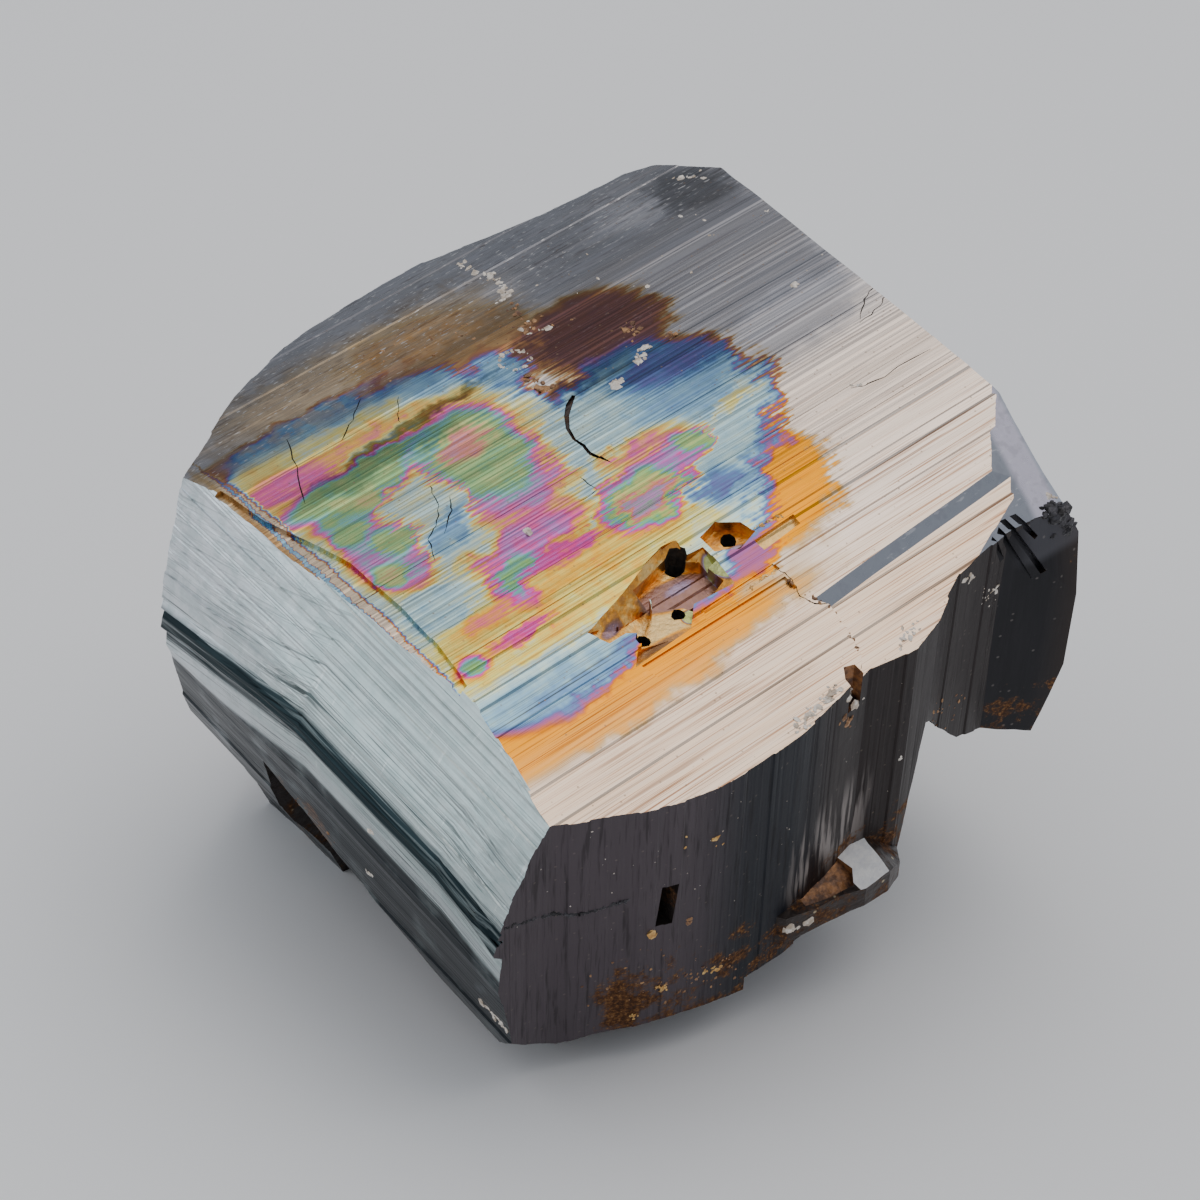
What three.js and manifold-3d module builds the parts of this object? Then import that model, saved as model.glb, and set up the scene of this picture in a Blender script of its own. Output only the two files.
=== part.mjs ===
// A pyrite crystal: one rounded, striated block with a smaller crystal grown onto its right end.
//
// The block is drawn in its own crystal axes, in millimetres. The a axis runs along the lines of the
// top face, the b axis runs back along the lines of the left face, and the c axis runs up along the
// lines of the front face. The block is the space that three long bars share, one bar along each
// axis, so each face curves only across its own lines, as it does on the real crystal. At the end
// the whole block is tipped forward, the way it stands on its broken underside.

import * as THREE from 'three';
import { mergeVertices } from 'three/addons/utils/BufferGeometryUtils.js';
import Module from 'manifold-3d';

const wasm = await Module();
wasm.setup();

// How the crystal stands: its c axis leans forward by this angle, towards this direction in the
// a-b plane, and the ground lies this far below the top front left corner.
const LEAN = THREE.MathUtils.degToRad(21);
const LEAN_DIRECTION = THREE.MathUtils.degToRad(50);
const GROUND_DEPTH = 21;

// Reach of the bars and cutters beyond the crystal
const FAR = 60;
const NEAR_END = -12;
const FAR_END = 52;

// Top face, drawn as (b, c) from front to back: it rises to a crest near the front and then falls
const TOP_PROFILE = [
  [-8, -1.9], [-3, -0.66], [0, 0], [2, 0.42], [4, 0.85], [6, 1.25], [8.2, 1.66],
  [10, 1.62], [14, 1.3], [18, 0.95], [22, 0.6], [25, 0.35], [28.5, 0],
  [31, -0.7], [33, -1.35], [35, -2.1], [37, -2.95], [40, -4.5], [44, -7],
];
const TOP_LEDGES = 46;
const TOP_LEDGE_DEPTH = 0.13;

// Left face, drawn as (a, c) from the top down: a sloping upper facet, then a sharp low ridge
const LEFT_UPPER_PROFILE = [[2.6, 3.4], [0, 0], [-1.4, -1.9], [-2.8, -3.8], [-3.45, -5.1]];
const LEFT_RIDGE_PROFILE = [
  [-3.2, -5.3], [-3.5, -5.6], [-3.1, -5.8], [-3.5, -6.1], [-3.7, -6.5], [-3.65, -6.8],
];
const LEFT_LOWER_PROFILE = [
  [-3.2, -7.2], [-3.5, -11], [-3.1, -14], [-2.75, -17], [-2.25, -19.2], [-1.5, -21.2],
  [-0.4, -23.4], [1.2, -27.2], [2.2, -31], [3.4, -39],
];
const LEFT_UPPER_LEDGES = 20;
const LEFT_LOWER_LEDGES = 16;
const LEFT_LEDGE_DEPTH = 0.14;

// The low ridge of the left face sinks towards its two ends, as (b, sag)
const RIDGE_SAG = [
  [-12, 2.4], [0, 1.5], [2, 0.5], [5, 0], [17, 0], [21, 0.8], [24, 1.8], [27, 2.5], [31, 3.9], [52, 5],
];
const RIDGE_LEVEL = -6.5;
const SAG_REACH = 6;
const SAG_BAND = 4;

// Right face, drawn as (a, c) from the bottom up
const RIGHT_PROFILE = [
  [36, -39], [39.6, -22], [40.6, -14], [40.9, -8], [39.8, -3.2], [38.4, -0.5], [37.6, 1], [36.4, 3.4],
];
const RIGHT_LEDGES = 20;

// Front face, drawn as (a, b) from left to right, up to the broken notch and beyond it
const FRONT_PROFILE = [
  [-7, 0.3], [-3, -0.1], [0, 0], [2.4, -1.0], [4.8, -2.05], [6.9, -2.7], [8.6, -3.0], [11.9, -3.12],
  [14, -3.05], [15.9, -2.8], [17.7, -2.45],
];
const FRONT_RIGHT_PROFILE = [
  [19.8, -1.95], [21.5, -2.3], [22.9, -2.4], [24.8, -1.9], [26, -1.2], [27.3, -0.35], [29.8, 0.05],
  [31.9, 0.35], [33.5, 0.4], [35.7, 0.1],
];
const RIGHT_CORNER_PROFILE = [
  [36.2, 1.6], [36.6, 3.7], [37, 5.8], [37.3, 7.2], [37.7, 9.8], [38.6, 13], [42, 18], [48, 22],
];
const FRONT_LEDGES = 28;
const FRONT_RIGHT_LEDGES = 16;
const FRONT_LEDGE_DEPTH = 0.12;

// Back face, drawn as (a, b) from right to left
const BACK_PROFILE = [
  [48, 24], [41, 29.5], [38.4, 33.2], [37, 36], [35.9, 36.9], [31.9, 37.3], [29.3, 37.7], [26.5, 38.1],
  [24.1, 38.9], [21.8, 39.7], [18.7, 39.7], [14, 39.2], [11.6, 38.7], [9.1, 37.7], [6.6, 36.5],
  [3.6, 34.5], [1.6, 33], [-0.7, 31.5], [-3.4, 30.5], [-7, 29.2],
];
const BACK_LEDGES = 38;
const BACK_LEDGE_DEPTH = 0.15;

// The smaller crystal at the right end: its plan as (a, b), then the two slopes of its shoulder and
// the facet at its lower right, each given by three points on the plane
const SMALL_CRYSTAL_PLAN = [
  [25.6, 6], [25.5, -0.5], [27.4, 0.5], [29.3, 1.4], [32.6, 0.15], [36.4, -1.4], [37.4, 0.6], [37.6, 3.6],
  [37.2, 10], [34, 12],
];
const SMALL_CRYSTAL_TOP = -0.3;
const SHOULDER_PLANE = [[31.3, 0.65, -0.3], [36, 0.3, -0.8], [34.4, -0.6, -4.6]];
const SHOULDER_SIDE_PLANE = [[35.9, 0.3, -0.75], [36.8, 5, 0.2], [37.3, 0.6, -3.6]];
const LOWER_FACET_PLANE = [[36.45, -1.4, -13.3], [35.2, -0.9, -19.3], [38.4, 3, -17.5]];

// Straight grooves that run down the shoulder and leave ridges between them, each from point to point
const SHOULDER_GROOVES = [
  [[31.9, 0.75, 0.1], [34.3, -0.5, -4.8]],
  [[31.4, 0.65, -0.3], [33.5, -0.6, -5.0]],
  [[30.7, 0.6, -0.4], [32.4, -0.35, -4.2]],
];
const GROOVE_WIDTH = 0.34;
const GROOVE_DEPTH = 0.7;

// The right half of the block ends high above the ground. Its underside is two broken planes, one
// nearly level and one that climbs to the wall left under the block, which is drawn as (a, b). The
// leaning wall cuts further in lower down.
const UNDERSIDE_PLANE = [[35.2, -0.9, -19.3], [30.9, 0.8, -17.3], [36, 30, -20]];
const CLIMBING_PLANE = [[25.4, -0.5, -10.2], [29.3, 1.4, -15.8], [27.5, 30, -16]];
const LOWER_RIGHT_WALL = [
  [25.6, -6], [25.4, -0.5], [26.2, 4], [25.7, 11], [27, 17], [26.2, 25], [27.4, 33], [26.6, 46],
  [58, 46], [58, -6],
];
const LEANING_WALL_PLANE = [[24.9, -0.5, -10.3], [23.7, -1.2, -18.6], [27, 24, -13]];

// The ledge low on the right of the front face: its plan as (a, b) and its levels along c
const LEDGE_PLAN = [
  [12.8, -2.2], [13.8, -3.5], [15.2, -3.9], [17.2, -4.2], [18.6, -4.7], [20.5, -4.6], [22.2, -3.7],
  [24.2, -1.2], [22, 3], [14, 3],
];
const LEDGE_TOP = -16.3;
const LEDGE_BOTTOM = -21.5;
const LEDGE_UNDER_PLANE = [[14, -3.6, -18.6], [21, -4.5, -18.5], [18, 0, -22.6]];
const LEDGE_RIGHT_PLANE = [[20.7, -2.2, -16.3], [20.3, -4.8, -16.3], [23.6, -2.4, -19.4]];
const RECESS_PLAN = [[16.6, -3.9], [15.2, -3.5], [15.4, -1.4], [18.6, -1.0], [18.9, -3.2], [18.2, -4.1]];
const RECESS_DEPTH = 1.6;

// The hopper pit in the top face and its smaller neighbours: plans as (a, b) with depths
const HOPPER_PIT = [
  [8.6, 7.7], [11.9, 8.9], [15.3, 9.8], [16.2, 9.7], [16.1, 8.6], [17.1, 8.5], [17.1, 5.8],
  [14.4, 6.0], [13.5, 5.1], [9.4, 4.7], [10.6, 5.6], [10.3, 6.6], [9.2, 6.6],
];
const HOPPER_DEPTH = 0.75;
const HOPPER_FLOOR_PLAN = [[12.4, 8.6], [15.2, 9.3], [16.6, 8.2], [16.8, 6.4], [14.2, 6.5], [12.6, 7.4]];
const HOPPER_FLOOR_DEPTH = 1.3;
const SIDE_PIT = [[17.4, 9.1], [18.7, 9.4], [19.8, 8.6], [20, 7.6], [18.6, 7.2], [17.4, 7.9]];
const SIDE_PIT_DEPTH = 0.8;
const SHALLOW_PIT = [[19.6, 7.2], [22.4, 7.3], [22.4, 6.7], [19.7, 6.5]];
const SHALLOW_PIT_DEPTH = 0.3;
const DEEP_HOLES = [
  { centre: [15.6, 9.0], radius: 0.62, depth: 2.6 },
  { centre: [18.9, 8.5], radius: 0.5, depth: 2.3 },
  { centre: [10.9, 5.9], radius: 0.42, depth: 1.8 },
  { centre: [13.6, 6.3], radius: 0.42, depth: 2.0 },
];
const HOLE_SIDES = 7;

// Strips of the top face that lie a step lower: along the left edge, and in front of the grey band
const LEFT_STRIP_PLAN = [
  [-4, 29.5], [0.2, 28.8], [0.6, 25.3], [1.5, 22.6], [2.2, 19.7], [2.3, 15.4], [2.1, 11.6], [1.6, 8.8],
  [-4, 7.5],
];
const LEFT_STRIP_DROP = 0.26;
const FRONT_STEP_PLAN = [
  [19, -6], [19.3, -1.9], [20, -1], [20.3, 0.9], [20.4, 2], [19.7, 2.9], [35.5, 3.8], [44, 4.3], [44, -6],
];
const FRONT_STEP_DROP = 0.34;
const FRONT_RISER_PLANE = [[20, 2.75, 0.6], [35.5, 3.65, 0.78], [20, 2, 0.08]];
const GREY_GROOVE_PLAN = [[9.7, 4.6], [13.6, 4.6], [19.5, 4.6], [19.6, 3.7], [13.6, 3.6], [10, 3.6]];
const GREY_GROOVE_DROP = 0.2;

// The curved crack behind the pit
const CURVED_CRACK_PLAN = [
  [19.2, 22.2], [17.8, 21.2], [16.9, 19.4], [16.8, 17.8], [17.3, 16.3], [17.5, 16.5], [17.1, 17.9],
  [17.2, 19.2], [18, 20.9], [19.3, 21.9],
];
const CURVED_CRACK_DEPTH = 0.35;

// Bevels where the top, front and right faces meet, each given by three points on the plane
const FRONT_BEVEL_PLANE = [[30.2, 0.5, -0.25], [35.6, 3.7, 0.72], [33.5, 0.9, -0.5]];
const CORNER_BEVEL_PLANE = [[36.9, 6.9, 1.3], [33.5, 0.9, -0.4], [35.8, 0.2, -1.25]];

// The broken notch in the top edge of the front face
const NOTCH_PLAN = [[18.1, -4.5], [18.2, -1.8], [18.6, -1.2], [19.2, -1.4], [19.5, -4.5]];
const NOTCH_BOTTOM = -2.9;

// The slot in the front face
const SLOT_CENTRE = [6.0, -9.4];
const SLOT_SIZE = [0.9, 3.4];
const SLOT_TURN = THREE.MathUtils.degToRad(5);
const SLOT_DEPTH = 4;

// Broken underside. Each bite is a plane given by three points, and it only cuts inside its reach
const BITES = [
  { plane: [[0.6, -0.3, -19.9], [11, -3.1, -21.2], [6, 6.5, -26.6]], a: [-12, 12.4], b: [-12, 9] },
  { plane: [[12, -3.1, -20.4], [24, -2, -21], [18, 0.5, -23.2]], a: [11.4, 34], b: [-12, 8] },
  { plane: [[-2.8, 0.1, -17], [0.6, -0.3, -19.9], [-2.3, 2.2, -19.7]], a: [-12, 3], b: [-12, 5] },
  { plane: [[-2.5, 14.5, -16.9], [-2.2, 5, -19.6], [6, 11, -25.6]], a: [-12, 8], b: [-12, 22] },
  { plane: [[4, 30.5, -32.4], [20, 34, -32], [12, 41, -22.5]], a: [-12, 40], b: [24, 52] },
  { plane: [[14, 30, -33], [27, 22, -31], [27, 34, -24]], a: [8, 40], b: [12, 52] },
];

// How uneven the ledges of the striae are in width, and how much of a ledge its riser takes
const LEDGE_UNEVENNESS = 0.7;
const LEDGE_RISER = 0.06;

// Corners nearer than this are one corner
const SAME_PLACE = 1e-5;

// Turns a list of number pairs into a closed three.js outline
function outlineOf(pairs) {
  return new THREE.Shape(pairs.map(([x, y]) => new THREE.Vector2(x, y)));
}

// A repeatable source of numbers from 0 to 1
function randomSource(seed) {
  let state = seed;
  return () => {
    state = (state * 16807) % 2147483647;
    return state / 2147483647;
  };
}

// Breaks a profile into long ledges of uneven width, each set back by an uneven amount
function striated(profile, count, depth, seed) {
  const random = randomSource(seed);
  const path = new THREE.CurvePath();
  const corners = profile.map((pair) => new THREE.Vector2(...pair));
  for (let i = 1; i < corners.length; i += 1) path.add(new THREE.LineCurve(corners[i - 1], corners[i]));
  const shift = () => (random() - 0.5) * LEDGE_UNEVENNESS;
  const stops = Array.from({ length: count + 1 }, (_, i) => (i + (i % count ? shift() : 0)) / count);
  const riser = LEDGE_RISER / count;
  const ledges = [];
  for (let i = 0; i < count; i += 1) {
    const setBack = depth * random();
    for (const u of [stops[i] + riser, stops[i + 1] - riser]) {
      const point = path.getPointAt(u);
      const along = path.getTangentAt(u);
      ledges.push([point.x - along.y * setBack, point.y + along.x * setBack]);
    }
  }
  return ledges;
}

// Reads the height of a profile at a place by straight-line steps
function heightAt(profile, place) {
  const next = profile.findIndex(([x]) => x >= place);
  const [x0, y0] = profile[Math.max(next - 1, 0)];
  const [x1, y1] = profile[Math.max(next, 1)];
  return THREE.MathUtils.mapLinear(place, x0, x1, y0, y1);
}

// Turns a closed geometry into a solid that can be joined and cut
function solidOf(geometry) {
  geometry.deleteAttribute('normal');
  geometry.deleteAttribute('uv');
  const merged = mergeVertices(geometry, SAME_PLACE);
  return new wasm.Manifold(new wasm.Mesh({
    numProp: 3,
    vertProperties: new Float32Array(merged.attributes.position.array),
    triVerts: new Uint32Array(merged.index.array),
  }));
}

// A bar with this outline between two stops along z
function barGeometry(pairs, from, to, steps = 1) {
  const options = { depth: to - from, steps, bevelEnabled: false };
  const geometry = new THREE.ExtrudeGeometry(outlineOf(pairs), options);
  geometry.translate(0, 0, from);
  return geometry;
}

// Bars along the three axes. The matrices name where the drawn x, y and z of the outline go
const ALONG_A = new THREE.Matrix4().makeBasis(
  new THREE.Vector3(0, 1, 0), new THREE.Vector3(0, 0, 1), new THREE.Vector3(1, 0, 0));
const ALONG_B = new THREE.Matrix4().makeBasis(
  new THREE.Vector3(1, 0, 0), new THREE.Vector3(0, 0, 1), new THREE.Vector3(0, -1, 0));

function barAlongA(pairs, from, to) {
  return solidOf(barGeometry(pairs, from, to).applyMatrix4(ALONG_A));
}

function barAlongC(pairs, from, to) {
  return solidOf(barGeometry(pairs, from, to));
}

// The bar whose sides are the left and right faces. The low ridge sags towards its ends
function leftAndRightBar() {
  const outline = [
    ...striated(LEFT_UPPER_PROFILE, LEFT_UPPER_LEDGES, LEFT_LEDGE_DEPTH, 11),
    ...LEFT_RIDGE_PROFILE,
    ...striated(LEFT_LOWER_PROFILE, LEFT_LOWER_LEDGES, LEFT_LEDGE_DEPTH, 12),
    ...striated(RIGHT_PROFILE, RIGHT_LEDGES, LEFT_LEDGE_DEPTH, 13),
  ];
  const steps = Math.round((FAR_END - NEAR_END) / SAG_BAND);
  const geometry = barGeometry(outline, -FAR_END, -NEAR_END, steps).applyMatrix4(ALONG_B);
  const place = geometry.attributes.position;
  for (let i = 0; i < place.count; i += 1) {
    const onLeft = place.getX(i) < 0;
    const nearness = Math.max(0, 1 - Math.abs(place.getZ(i) - RIDGE_LEVEL) / SAG_REACH);
    if (onLeft) place.setZ(i, place.getZ(i) - heightAt(RIDGE_SAG, place.getY(i)) * nearness);
  }
  return solidOf(geometry);
}

// The bar whose sides are the front and back faces
function frontAndBackBar() {
  return barAlongC([
    ...striated(FRONT_PROFILE, FRONT_LEDGES, FRONT_LEDGE_DEPTH, 21),
    ...striated(FRONT_RIGHT_PROFILE, FRONT_RIGHT_LEDGES, FRONT_LEDGE_DEPTH, 22),
    ...RIGHT_CORNER_PROFILE,
    ...striated(BACK_PROFILE, BACK_LEDGES, BACK_LEDGE_DEPTH, 23),
  ], -FAR, FAR);
}

// The bar whose upper side is the top face, lowered by a drop
function topBar(drop = 0) {
  const ledges = striated(TOP_PROFILE, TOP_LEDGES, -TOP_LEDGE_DEPTH, 31);
  const lowered = ledges.map(([b, c]) => [b, c - drop]);
  return barAlongA([...lowered, [44, -FAR], [-8, -FAR]], NEAR_END, FAR_END);
}

// Everything on the far side of a plane through three points, as a big block
function beyondPlane(points, outward) {
  const [p, q, r] = points.map((point) => new THREE.Vector3(...point));
  const normal = q.clone().sub(p).cross(r.clone().sub(p)).normalize();
  if (normal.dot(new THREE.Vector3(...outward)) < 0) normal.negate();
  const block = new THREE.BoxGeometry(4 * FAR, 4 * FAR, 2 * FAR);
  block.translate(0, 0, FAR);
  block.applyQuaternion(new THREE.Quaternion().setFromUnitVectors(new THREE.Vector3(0, 0, 1), normal));
  block.translate(p.x, p.y, p.z);
  return solidOf(block);
}

// A box between ranges along a and b, over the full height
function column(reach) {
  const [a0, a1] = reach.a;
  const [b0, b1] = reach.b;
  return barAlongC([[a0, b0], [a1, b0], [a1, b1], [a0, b1]], -FAR, FAR);
}

// The space above the top face, sunk by a drop, inside a plan outline
function sunkenArea(plan, drop) {
  return barAlongC(plan, -FAR / 2, FAR / 2).subtract(topBar(drop));
}

// A straight groove along the shoulder of the small crystal, from point to point
function shoulderGroove([from, to]) {
  const [start, end] = [new THREE.Vector3(...from), new THREE.Vector3(...to)];
  const along = end.clone().sub(start);
  const [p, q, r] = SHOULDER_PLANE.map((point) => new THREE.Vector3(...point));
  const outward = q.sub(p).cross(r.sub(p)).normalize();
  const across = outward.clone().cross(along).normalize();
  const groove = new THREE.BoxGeometry(along.length(), GROOVE_WIDTH, GROOVE_DEPTH);
  groove.applyMatrix4(new THREE.Matrix4().makeBasis(along.clone().normalize(), across, outward));
  const middle = start.add(end).multiplyScalar(0.5);
  groove.translate(middle.x, middle.y, middle.z);
  return solidOf(groove);
}

// The small crystal grown onto the right end
function smallCrystal() {
  return barAlongC(SMALL_CRYSTAL_PLAN, -FAR / 2, SMALL_CRYSTAL_TOP)
    .subtract(beyondPlane(SHOULDER_PLANE, [0, -1, 1]))
    .subtract(beyondPlane(SHOULDER_SIDE_PLANE, [1, 0, 1]))
    .subtract(beyondPlane(LOWER_FACET_PLANE, [1, 0, -1]))
    .subtract(beyondPlane(UNDERSIDE_PLANE, [0, 0, -1]))
    .subtract(beyondPlane(CLIMBING_PLANE, [0, 0, -1]));
}

// The ledge low on the front face, with its rusty recess
function frontLedge() {
  return barAlongC(LEDGE_PLAN, LEDGE_BOTTOM, LEDGE_TOP)
    .subtract(beyondPlane(LEDGE_UNDER_PLANE, [0, 0, -1]))
    .subtract(beyondPlane(LEDGE_RIGHT_PLANE, [1, 0, 1]))
    .subtract(barAlongC(RECESS_PLAN, LEDGE_TOP - RECESS_DEPTH, LEDGE_TOP + 1));
}

// A round hole with few sides, sunk from above the top face
function deepHole({ centre, radius, depth }) {
  const [a, b] = centre;
  const top = heightAt(TOP_PROFILE, b);
  const hole = new THREE.CylinderGeometry(radius, radius * 0.5, depth + 1, HOLE_SIDES);
  hole.rotateX(Math.PI / 2);
  hole.translate(a, b, top + 1 - (depth + 1) / 2);
  return solidOf(hole);
}

// The upright slot in the front face
function frontSlot() {
  const slot = new THREE.BoxGeometry(SLOT_SIZE[0], SLOT_DEPTH, SLOT_SIZE[1]);
  slot.rotateY(SLOT_TURN);
  slot.translate(SLOT_CENTRE[0], heightAt(FRONT_PROFILE, SLOT_CENTRE[0]), SLOT_CENTRE[1]);
  return solidOf(slot);
}

// The direction that points up once the crystal stands on the ground, in crystal axes
const up = new THREE.Vector3(
  Math.sin(LEAN) * Math.cos(LEAN_DIRECTION), Math.sin(LEAN) * Math.sin(LEAN_DIRECTION), Math.cos(LEAN));

function underGround() {
  const foot = up.clone().multiplyScalar(-GROUND_DEPTH);
  const sideways = new THREE.Vector3(1, 0, 0).cross(up);
  const third = new THREE.Vector3().crossVectors(up, sideways);
  const corners = [foot, foot.clone().add(sideways), foot.clone().add(third)];
  return beyondPlane(corners.map((corner) => corner.toArray()), up.clone().negate().toArray());
}

// The whole crystal, in crystal axes
function pyriteSolid() {
  let crystal = leftAndRightBar().intersect(frontAndBackBar()).intersect(topBar());

  const highUnderside = beyondPlane(UNDERSIDE_PLANE, [0, 0, -1])
    .add(beyondPlane(CLIMBING_PLANE, [0, 0, -1]));
  const rightOfWall = barAlongC(LOWER_RIGHT_WALL, -FAR, 0)
    .add(beyondPlane(LEANING_WALL_PLANE, [1, 0, 0]));
  const frontStep = sunkenArea(FRONT_STEP_PLAN, FRONT_STEP_DROP)
    .intersect(beyondPlane(FRONT_RISER_PLANE, [0, -1, 1]));
  crystal = crystal.subtract(rightOfWall.intersect(highUnderside));
  crystal = crystal.add(smallCrystal()).add(frontLedge());

  crystal = crystal
    .subtract(sunkenArea(LEFT_STRIP_PLAN, LEFT_STRIP_DROP))
    .subtract(frontStep)
    .subtract(sunkenArea(GREY_GROOVE_PLAN, GREY_GROOVE_DROP))
    .subtract(sunkenArea(CURVED_CRACK_PLAN, CURVED_CRACK_DEPTH))
    .subtract(sunkenArea(HOPPER_PIT, HOPPER_DEPTH))
    .subtract(sunkenArea(HOPPER_FLOOR_PLAN, HOPPER_FLOOR_DEPTH))
    .subtract(sunkenArea(SIDE_PIT, SIDE_PIT_DEPTH))
    .subtract(sunkenArea(SHALLOW_PIT, SHALLOW_PIT_DEPTH));
  for (const hole of DEEP_HOLES) crystal = crystal.subtract(deepHole(hole));
  for (const groove of SHOULDER_GROOVES) crystal = crystal.subtract(shoulderGroove(groove));

  crystal = crystal
    .subtract(beyondPlane(FRONT_BEVEL_PLANE, [0, -1, 1]))
    .subtract(beyondPlane(CORNER_BEVEL_PLANE, [1, 0, 1]))
    .subtract(barAlongC(NOTCH_PLAN, NOTCH_BOTTOM, FAR))
    .subtract(frontSlot());

  for (const bite of BITES) {
    crystal = crystal.subtract(beyondPlane(bite.plane, [0, 0, -1]).intersect(column(bite)));
  }
  return crystal.subtract(underGround());
}

// Copies a joined solid back into a three.js geometry
function geometryOf(solid) {
  const mesh = solid.getMesh();
  const geometry = new THREE.BufferGeometry();
  geometry.setAttribute('position', new THREE.BufferAttribute(new Float32Array(mesh.vertProperties), 3));
  geometry.setIndex(new THREE.BufferAttribute(new Uint32Array(mesh.triVerts), 1));
  geometry.computeVertexNormals();
  return geometry;
}

const tarnishedPyrite = new THREE.MeshStandardMaterial({ color: 0x9a938c, roughness: 0.35, metalness: 1 });
const crystal = new THREE.Mesh(geometryOf(pyriteSolid()), tarnishedPyrite);
crystal.name = 'pyrite_crystal';

// Stand the crystal on the ground and put the middle of its footprint box over the origin
const stand = new THREE.Group();
stand.quaternion.setFromUnitVectors(up, new THREE.Vector3(0, 0, 1));
stand.add(crystal);
const part = new THREE.Group();
part.add(stand);
part.updateMatrixWorld(true);
const reach = new THREE.Box3().setFromObject(crystal, true);
stand.position.set(-(reach.min.x + reach.max.x) / 2, -(reach.min.y + reach.max.y) / 2, -reach.min.z);

export default part;
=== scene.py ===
"""A tarnished pyrite crystal: a rounded, striated block with a smaller crystal grown onto its right end.

The solid is made in its own crystal axes, in millimetres. The a axis runs along the lines of the top face,
the b axis runs back along the lines of the left face, and the c axis runs up along the lines of the front
face. Three long striated bars are intersected, then the smaller crystal and the front ledge are joined on,
and the pits, steps, cracks and broken surfaces are cut. The finished mesh is then stood on the ground. A
node group turns places back into crystal axes, so every finish is laid out in millimetres along a, b and c.
"""

import sys

import logging
import math
from collections.abc import Callable, Sequence
from dataclasses import dataclass
from enum import Enum

import bmesh
import bpy
import numpy as np
from mathutils import Matrix, Vector, noise
from mathutils.bvhtree import BVHTree


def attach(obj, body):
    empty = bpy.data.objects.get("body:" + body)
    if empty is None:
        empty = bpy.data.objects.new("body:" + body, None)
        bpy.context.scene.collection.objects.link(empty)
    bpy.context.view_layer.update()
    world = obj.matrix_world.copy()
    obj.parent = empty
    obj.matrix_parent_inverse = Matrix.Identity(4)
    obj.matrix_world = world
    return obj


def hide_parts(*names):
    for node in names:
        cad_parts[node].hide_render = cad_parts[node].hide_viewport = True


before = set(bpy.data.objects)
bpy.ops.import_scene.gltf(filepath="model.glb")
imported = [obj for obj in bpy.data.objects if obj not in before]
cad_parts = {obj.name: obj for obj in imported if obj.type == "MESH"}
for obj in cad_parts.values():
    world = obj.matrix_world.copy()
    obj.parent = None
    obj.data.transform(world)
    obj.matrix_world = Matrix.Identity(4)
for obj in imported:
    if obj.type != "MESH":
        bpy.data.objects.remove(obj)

log = logging.getLogger("pyrite")

Pair = tuple[float, float]
Triple = tuple[float, float, float]
Line = Sequence[Pair]
Plane = tuple[Triple, Triple, Triple]
Stops = Sequence[tuple[float, Triple]]

MM = 0.001
NODE = "pyrite_crystal"
BODY = "root"


class Surface(Enum):
    """The kinds of surface on the crystal. The value is the material slot."""

    TOP = 0
    LEFT = 1
    RIGHT = 2
    FRONT = 3
    BACK = 4
    SMALL = 5
    PIT = 6
    BROKEN = 7
    # Deep holes and fine cracks, laid near black as painted shade
    HOLE = 8
    BEVEL = 9
    # A near-white facet, laid as a painted highlight
    PAINTED_HIGHLIGHT = 10
    RUSTY = 11


class Combine(Enum):
    """How one solid acts on another. The value is Blender's own word."""

    JOIN = "UNION"
    CUT = "DIFFERENCE"
    KEEP = "INTERSECT"


@dataclass(frozen=True)
class Stance:
    """How the crystal stands on the ground.

    Its c axis leans forward, and the ground lies below the top front left corner, which is the origin of
    the crystal axes. The shift puts the middle of the footprint over the origin of the shared frame.
    """

    lean: float = math.radians(21)
    direction: float = math.radians(50)
    ground_depth: float = 21.0
    shift: Pair = (-20.188, -20.586)

    def up(self) -> Vector:
        """Returns the direction away from the ground, in crystal axes."""
        flat = math.sin(self.lean)
        return Vector((flat * math.cos(self.direction), flat * math.sin(self.direction), math.cos(self.lean)))

    def turn(self) -> Matrix:
        """Returns the rotation from crystal axes to the shared frame."""
        return self.up().rotation_difference(Vector((0, 0, 1))).to_matrix()

    def matrix(self) -> Matrix:
        """Returns the matrix from crystal axes in metres to the shared frame in metres."""
        return Matrix.Translation(Vector((*self.shift, self.ground_depth)) * MM) @ self.turn().to_4x4()


# Reach of the bars and cutters beyond the crystal, in millimetres
FAR = 60.0
A_ENDS: Pair = (-12.0, 52.0)
B_ENDS: Pair = (-12.0, 52.0)
C_ENDS: Pair = (-45.0, 12.0)

# How far the points of a bar stray along it, as a share of the spacing
SWAY = 0.7


def number_source(seed: int) -> Callable[[], float]:
    """Makes a repeatable source of numbers.

    Args:
        seed: Where the sequence starts.

    Returns:
        A function that gives the next number from 0 to 1.
    """
    state = seed

    def following() -> float:
        """Returns the next number."""
        nonlocal state
        state = (state * 16807) % 2147483647
        return state / 2147483647

    return following


def height_at(profile: Line, place: float | np.ndarray) -> float | np.ndarray:
    """Reads a profile.

    Args:
        profile: Pairs of place and height, with rising places.
        place: Where to read it.

    Returns:
        The height there, by straight-line steps.
    """
    return np.interp(place, [p[0] for p in profile], [p[1] for p in profile])


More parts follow.
